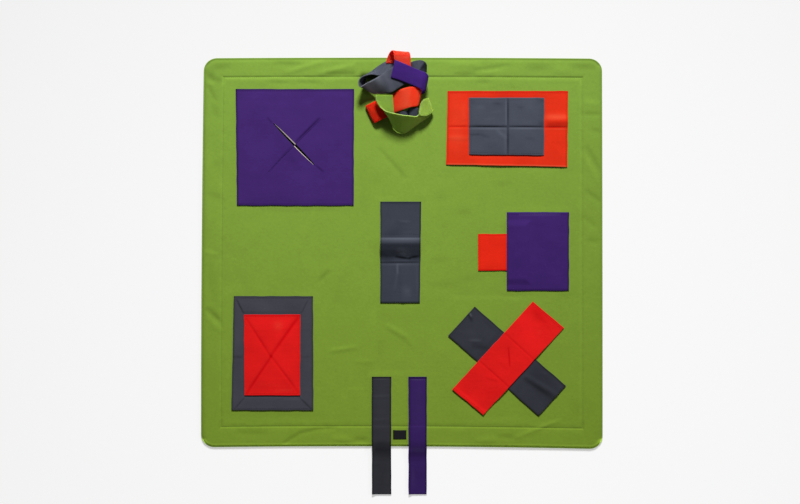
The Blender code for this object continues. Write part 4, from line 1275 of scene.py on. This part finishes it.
def ribbon(piece, u, v, start_rail, end_rail, lift):
    """Lays a grid's rows from one rail to the other, in mm, lifted along the cloth's normal."""
    row = np.round(v * (len(start_rail) - 1)).astype(int)
    share = u[:, None]
    across = end_rail - start_rail
    along = np.gradient((start_rail + end_rail) / 2, axis=0)
    normal = np.cross(across, along)
    normal /= np.maximum(np.linalg.norm(normal, axis=1), 1e-9)[:, None]
    at = start_rail[row] * (1 - share) + end_rail[row] * share
    place(piece, *(at + normal[row] * lift[:, None]).T)


def band(name, x_edges, profile, base, kind, taper=0.0, shape=None):
    """A strip of felt along a profile of (y, height) rows; its right edge draws in by taper."""
    line = smooth_line(profile[::-1], 12)
    y, height = line[:, 0], line[:, 1] + base
    for start, end in zip(profile[::-1], profile[::-1][1:]):
        if start[1] == end[1]:
            flat = (y >= start[0]) & (y <= end[0])
            height[flat] = start[1] + base
    reach = np.concatenate([[0], np.cumsum(np.hypot(np.diff(y), np.diff(height)))])
    width, length = x_edges[1] - x_edges[0], reach[-1]
    piece, u, v = felt_grid(name, width, length)
    y, z = np.interp(v * length, reach, y), np.interp(v * length, reach, height)
    top, low = profile[0][0], profile[-1][0]
    x = x_edges[0] + u * (width - taper * (top - y) / (top - low))
    # the folds give relief and painted light and shade; the cut edges get painted lines
    rise, nap = folded(x, y, FELT_FOLDS.get(name, ()))
    keep_painted_shade(piece, nap + edge_shade(name, u, v, width, length))
    x = x + BAND_WANDER * uneven(x, y, BAND_WANDER_SPACING, 61)
    z = z + wavy(x, y, 0.5, 63) + np.maximum(rise, BAND_DEEPEST)
    if shape is not None:
        x, y, z = shape(x, y, z)
    place(piece, x, y, z)
    as_cloth(piece, sizes().felt, cloth(name, kind))
    return piece


def build_tunnel_band():
    def shape(x, y, z):
        crease_x, crease_y, slant, height, half_width = TUNNEL_CREASE
        off = x - crease_x + slant * (y - crease_y)
        crease = bump(off, height, half_width) * ease(TUNNEL_CREASE_Y, y)
        foot_y, height, half_width = TUNNEL_FOOT
        first_x, rate = TUNNEL_RIPPLES
        ripples = np.sin((x - first_x) * rate) * bump(y - foot_y, height, half_width)
        return x, y, z + np.where(y < -20, crease, 0) + np.maximum(ripples, -0.4)

    piece = band(
        "tunnel_felt", TUNNEL_X, TUNNEL_PROFILE, ON_MAT, "grey", TUNNEL_TAPER, shape
    )
    finish(piece, "grey", "tunnel_band")


def build_straps():
    seam_y, depth, half_width = STRAP_SEAM
    for kind, x_edges in (("grey", STRAP_GREY_X), ("purple", STRAP_PURPLE_X)):
        def shape(x, y, z, left=x_edges[0]):
            curl = STRAP_CURL * (1 - ease(STRAP_CURL_X, x - left)) * ease(STRAP_CURL_Y, y)
            return x, y, z + curl + bump(y - seam_y, depth, half_width) + STRAP_LIFT

        node = f"strap_{kind}"
        piece = band(f"{node}_felt", x_edges, STRAP_PROFILE, 0.0, kind, shape=shape)
        finish(piece, kind, node)


def build_label():
    def height(x, y, u, v):
        return np.full_like(x, BORDER_HEIGHT + GAP)

    woven = weave("label_weave", list(colours().label))
    tape = panel("label_tape", LABEL, height, woven, thickness=sizes().label)
    finish(tape, "black", "label")


# ---------------------------------------------------------------- tangle


def build_tangle():
    for index, (name, (kind, rows)) in enumerate(STRIPS.items()):
        rungs = np.array(rows, float)
        start_rail = smooth_line(rungs[:, :3], STRIP_STEPS)
        end_rail = smooth_line(rungs[:, 3:], STRIP_STEPS)

        piece, u, v = grid_piece(f"{name}_felt", STRIP_CELLS, len(start_rail) - 1)
        crown = STRIP_CROWN * (1 - (2 * u - 1) ** 2)
        lift = crown + STRIP_UNEVEN * uneven(u * 34, v * 130, 11, 70 + index)
        ribbon(piece, u, v, start_rail, end_rail, lift)
        # painted light along the strip, rung by rung
        keep_painted_shade(piece, along_table(STRIP_PAINTED_LIGHT.get(name, ((0, 0), (1, 0))), v * (len(rows) - 1)))
        as_cloth(piece, sizes().strip_felt, cloth(piece.name, kind, True), offset=0.0, edge=0.45)
        finish(piece, "green_strip" if kind == "green" else kind, name)


# ---------------------------------------------------------------- stitching


def stitch_shape(length, radius):
    """Points and faces of one short fat stitch along X."""
    deselect()
    bpy.ops.mesh.primitive_uv_sphere_add(segments=6, ring_count=4, radius=1)
    model = bpy.context.object
    points = points_of(model)[:, [2, 0, 1]] * np.array([length / 2, radius, radius])
    faces = [tuple(face.vertices) for face in model.data.polygons]
    bpy.data.objects.remove(model, do_unlink=True)
    return points, faces


def spots_along(target, line):
    """The two ends of each stitch of a row along the line, in metres, laid on the target."""
    line = np.array(line, float) * MM
    reach = np.concatenate([[0], np.cumsum(np.linalg.norm(np.diff(line, axis=0), axis=1))])
    count = max(1, int(reach[-1] / sizes().stitch_pitch))
    down, spots = Vector((0, 0, -1)), []
    for middle in (np.arange(count) + 0.5) * reach[-1] / count:
        ends = []
        for at in (middle - sizes().stitch / 2, middle + sizes().stitch / 2):
            x, y = np.interp(at, reach, line[:, 0]), np.interp(at, reach, line[:, 1])
            hit, place_at, *_ = target.ray_cast(Vector((x, y, ABOVE_ALL * MM)), down)
            if hit:
                ends.append(place_at)
        if len(ends) == 2 and abs(ends[0].z - ends[1].z) < STITCH_STEEPEST * MM:
            spots.append(ends)
    return spots


def sew(name, spots, material):
    length, radius = sizes().stitch, sizes().thread / 2
    shape, faces = stitch_shape(length, radius)
    points, polygons = [], []
    for start, end in spots:
        along = (end - start).normalized()
        side = Vector((0, 0, 1)).cross(along).normalized()
        up = along.cross(side)
        turn = np.array([along, side, up])
        base = len(points) * len(shape)
        points.append(shape @ turn + np.array((start + end) / 2 + up * radius * 0.35))
        polygons += [tuple(base + corner for corner in face) for face in faces]
    mesh = bpy.data.meshes.new(name)
    mesh.from_pydata(np.vstack(points).tolist(), [], polygons)
    mesh.validate()
    row = bpy.data.objects.new(name, mesh)
    bpy.context.scene.collection.objects.link(row)
    mesh.materials.append(material)
    mesh.shade_smooth()
    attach(row, BODY)


def ring_line(inset, step=6.0):
    """Points round the mat at this distance in from its true outline, as sewn."""
    half = np.array([MAT_WIDTH / 2 - inset, MAT_LENGTH / 2 - inset])
    corners = half * np.array([(-1, -1), (1, -1), (1, 1), (-1, 1), (-1, -1)])
    line = []
    for start, end in zip(corners, corners[1:]):
        count = int(np.linalg.norm(end - start) / step)
        line.append(start + (end - start) * np.linspace(0, 1, count, endpoint=False)[:, None])
    return np.stack(as_sewn(*np.vstack([*line, corners[:1]]).T), axis=1)


def inset_corners(corners, inset):
    corners = np.array(corners, float)
    return corners - inset * np.sign(corners - corners.mean(axis=0))


def end_row(start, end, near, far):
    """A row a little way in from a band's cut end, on the way from the near to the far corners."""
    inward = Vector(np.sum(far, axis=0) - np.sum(near, axis=0)).normalized() * END_STITCH_INSET
    return Vector(start) + inward, Vector(end) + inward


def build_stitching():
    objects = bpy.data.objects
    rows = {"green": spots_along(objects["fleece_mat"], ring_line(SEAM_INSET))}
    rows.update(purple=[], red=[], grey=[])
    for kind, name, corners, sides in STITCHED_SIDES:
        moved = inset_corners(corners, STITCH_INSET)
        for i in sides:
            rows[kind] += spots_along(objects[name], (moved[i], moved[(i + 1) % 4]))
    for kind, name, start, end in STITCHED_LINES:
        rows[kind] += spots_along(objects[name], (start, end))
    for kind, name, *corners in STITCHED_ENDS:
        rows[kind] += spots_along(objects[name], end_row(*corners))
    for kind, spots in rows.items():
        colour = [c * STITCH_DARKNESS[kind] for c in getattr(colours(), kind)]
        name = "mat_seam_stitches" if kind == "green" else f"{kind}_stitches"
        sew(name, spots, thread(f"{kind}_thread", colour))


# ---------------------------------------------------------------- stage

KEY_PLACE = (0.15, 3.13, 2.27)
KEY_AIM = (0.0, 0.3, 0.0)
KEY_SIZE = 0.85
SIDE_PLACE = (6.0, 0.8, 3.4)
SIDE_SIZE = 1.6
SIDE_SHARE = 0.19
CAMERA_PLACE = (-0.006, 0.0, 2.4)
LENS = 54
SENSOR = 36
FLOOR_SIZE = 14
FLOOR_FADE = 0.55  # how far above and below the middle the floor's shade changes


def aimed_light(name, place_at, aim, size, power):
    deselect()
    bpy.ops.object.light_add(type="AREA", location=place_at)
    light = bpy.context.object
    light.name = name
    light.data.shape = "DISK"
    light.data.size = size
    light.data.energy = power
    light.rotation_euler = (Vector(aim) - Vector(place_at)).to_track_quat("-Z", "Y").to_euler()


def build_stage():
    scene = bpy.context.scene
    scene.view_settings.view_transform = "Standard"
    deselect()
    bpy.ops.mesh.primitive_plane_add(size=FLOOR_SIZE, location=(0, 0, -GAP * MM))
    floor = bpy.context.object
    floor.name = "floor"
    f = Finish("pale_floor", 0.9)
    tone = f.shaded(list(colours().floor_near), list(colours().floor_far), FLOOR_FADE)
    f.links.new(tone, f.shader.inputs["Base Color"])
    f.shader.inputs["Emission Color"].default_value = (1, 1, 1, 1)
    f.shader.inputs["Emission Strength"].default_value = sizes().glow
    floor.data.materials.append(f.material)

    aimed_light("key_light", KEY_PLACE, KEY_AIM, KEY_SIZE, sizes().key_light)
    aimed_light("side_light", SIDE_PLACE, (0, 0, 0), SIDE_SIZE, sizes().key_light * SIDE_SHARE)
    world = bpy.data.worlds.new("studio")
    world.use_nodes = True
    background = world.node_tree.nodes["Background"]
    background.inputs["Color"].default_value = (1, 1, 1, 1)
    background.inputs["Strength"].default_value = sizes().sky
    scene.world = world

    bpy.ops.object.camera_add(location=CAMERA_PLACE, rotation=(0, 0, 0))
    camera = bpy.context.object
    camera.data.lens = LENS
    camera.data.sensor_width = SENSOR
    scene.camera = camera


# ---------------------------------------------------------------- add-on


class SNUFFLE_OT_mat(bpy.types.Operator):
    """Models the padded fleece mat with its seam and creases"""

    bl_idname = "snuffle.mat"
    bl_label = "Mat"

    def execute(self, context):
        build_mat()
        return {"FINISHED"}


class SNUFFLE_OT_slit_square(bpy.types.Operator):
    """Models the square of felt with its crossed cuts"""

    bl_idname = "snuffle.slit_square"
    bl_label = "Slit square"

    def execute(self, context):
        build_slit_square()
        return {"FINISHED"}


class SNUFFLE_OT_flaps(bpy.types.Operator):
    """Models the red flap and the grey one on it"""

    bl_idname = "snuffle.flaps"
    bl_label = "Flaps"

    def execute(self, context):
        build_flaps()
        return {"FINISHED"}


class SNUFFLE_OT_pocket(bpy.types.Operator):
    """Models the pull tab and the pocket over it"""

    bl_idname = "snuffle.pocket"
    bl_label = "Pocket"

    def execute(self, context):
        build_pocket()
        return {"FINISHED"}


class SNUFFLE_OT_crossed_bands(bpy.types.Operator):
    """Models the two crossed bands"""

    bl_idname = "snuffle.crossed_bands"
    bl_label = "Crossed bands"

    def execute(self, context):
        build_crossed_bands()
        return {"FINISHED"}


class SNUFFLE_OT_frame(bpy.types.Operator):
    """Models the grey frame and the red panel on it"""

    bl_idname = "snuffle.frame"
    bl_label = "Frame"

    def execute(self, context):
        build_frame()
        return {"FINISHED"}


class SNUFFLE_OT_tunnel_band(bpy.types.Operator):
    """Models the raised tunnel band"""

    bl_idname = "snuffle.tunnel_band"
    bl_label = "Tunnel band"

    def execute(self, context):
        build_tunnel_band()
        return {"FINISHED"}


class SNUFFLE_OT_straps(bpy.types.Operator):
    """Models the two tie straps"""

    bl_idname = "snuffle.straps"
    bl_label = "Straps"

    def execute(self, context):
        build_straps()
        return {"FINISHED"}


class SNUFFLE_OT_label(bpy.types.Operator):
    """Models the blank label"""

    bl_idname = "snuffle.label"
    bl_label = "Label"

    def execute(self, context):
        build_label()
        return {"FINISHED"}


class SNUFFLE_OT_tangle(bpy.types.Operator):
    """Models the eight felt strips of the tangle"""

    bl_idname = "snuffle.tangle"
    bl_label = "Tangle"

    def execute(self, context):
        build_tangle()
        return {"FINISHED"}


class SNUFFLE_OT_stitching(bpy.types.Operator):
    """Sews the mat's seam and the patches"""

    bl_idname = "snuffle.stitching"
    bl_label = "Stitching"

    def execute(self, context):
        build_stitching()
        return {"FINISHED"}


class SNUFFLE_OT_stage(bpy.types.Operator):
    """Sets the floor, the lights and the camera"""

    bl_idname = "snuffle.stage"
    bl_label = "Stage"

    def execute(self, context):
        build_stage()
        return {"FINISHED"}


STEPS = (
    SNUFFLE_OT_mat,
    SNUFFLE_OT_slit_square,
    SNUFFLE_OT_flaps,
    SNUFFLE_OT_pocket,
    SNUFFLE_OT_crossed_bands,
    SNUFFLE_OT_frame,
    SNUFFLE_OT_tunnel_band,
    SNUFFLE_OT_straps,
    SNUFFLE_OT_label,
    SNUFFLE_OT_tangle,
    SNUFFLE_OT_stitching,
    SNUFFLE_OT_stage,
)


class SNUFFLE_PT_panel(bpy.types.Panel):
    """Lists the snuffle mat's pieces in the sidebar"""

    bl_label = "Snuffle Mat"
    bl_space_type = "VIEW_3D"
    bl_region_type = "UI"
    bl_category = "Snuffle Mat"

    def draw(self, context):
        layout = self.layout
        for group in (context.scene.snuffle_mat_sizes, context.scene.snuffle_mat_colours):
            for name in group.__annotations__:
                layout.prop(group, name)
        for operator in STEPS:
            layout.operator(operator.bl_idname)


CLASSES = (SnuffleMatSizes, SnuffleMatColours, *STEPS, SNUFFLE_PT_panel)


def register():
    for cls in CLASSES:
        bpy.utils.register_class(cls)
    bpy.types.Scene.snuffle_mat_sizes = PointerProperty(type=SnuffleMatSizes)
    bpy.types.Scene.snuffle_mat_colours = PointerProperty(type=SnuffleMatColours)


def unregister():
    del bpy.types.Scene.snuffle_mat_colours
    del bpy.types.Scene.snuffle_mat_sizes
    for cls in reversed(CLASSES):
        bpy.utils.unregister_class(cls)


def main():
    register()
    for operator in STEPS:
        getattr(bpy.ops.snuffle, operator.bl_idname.split(".")[1])()


if __name__ == "__main__":
    main()
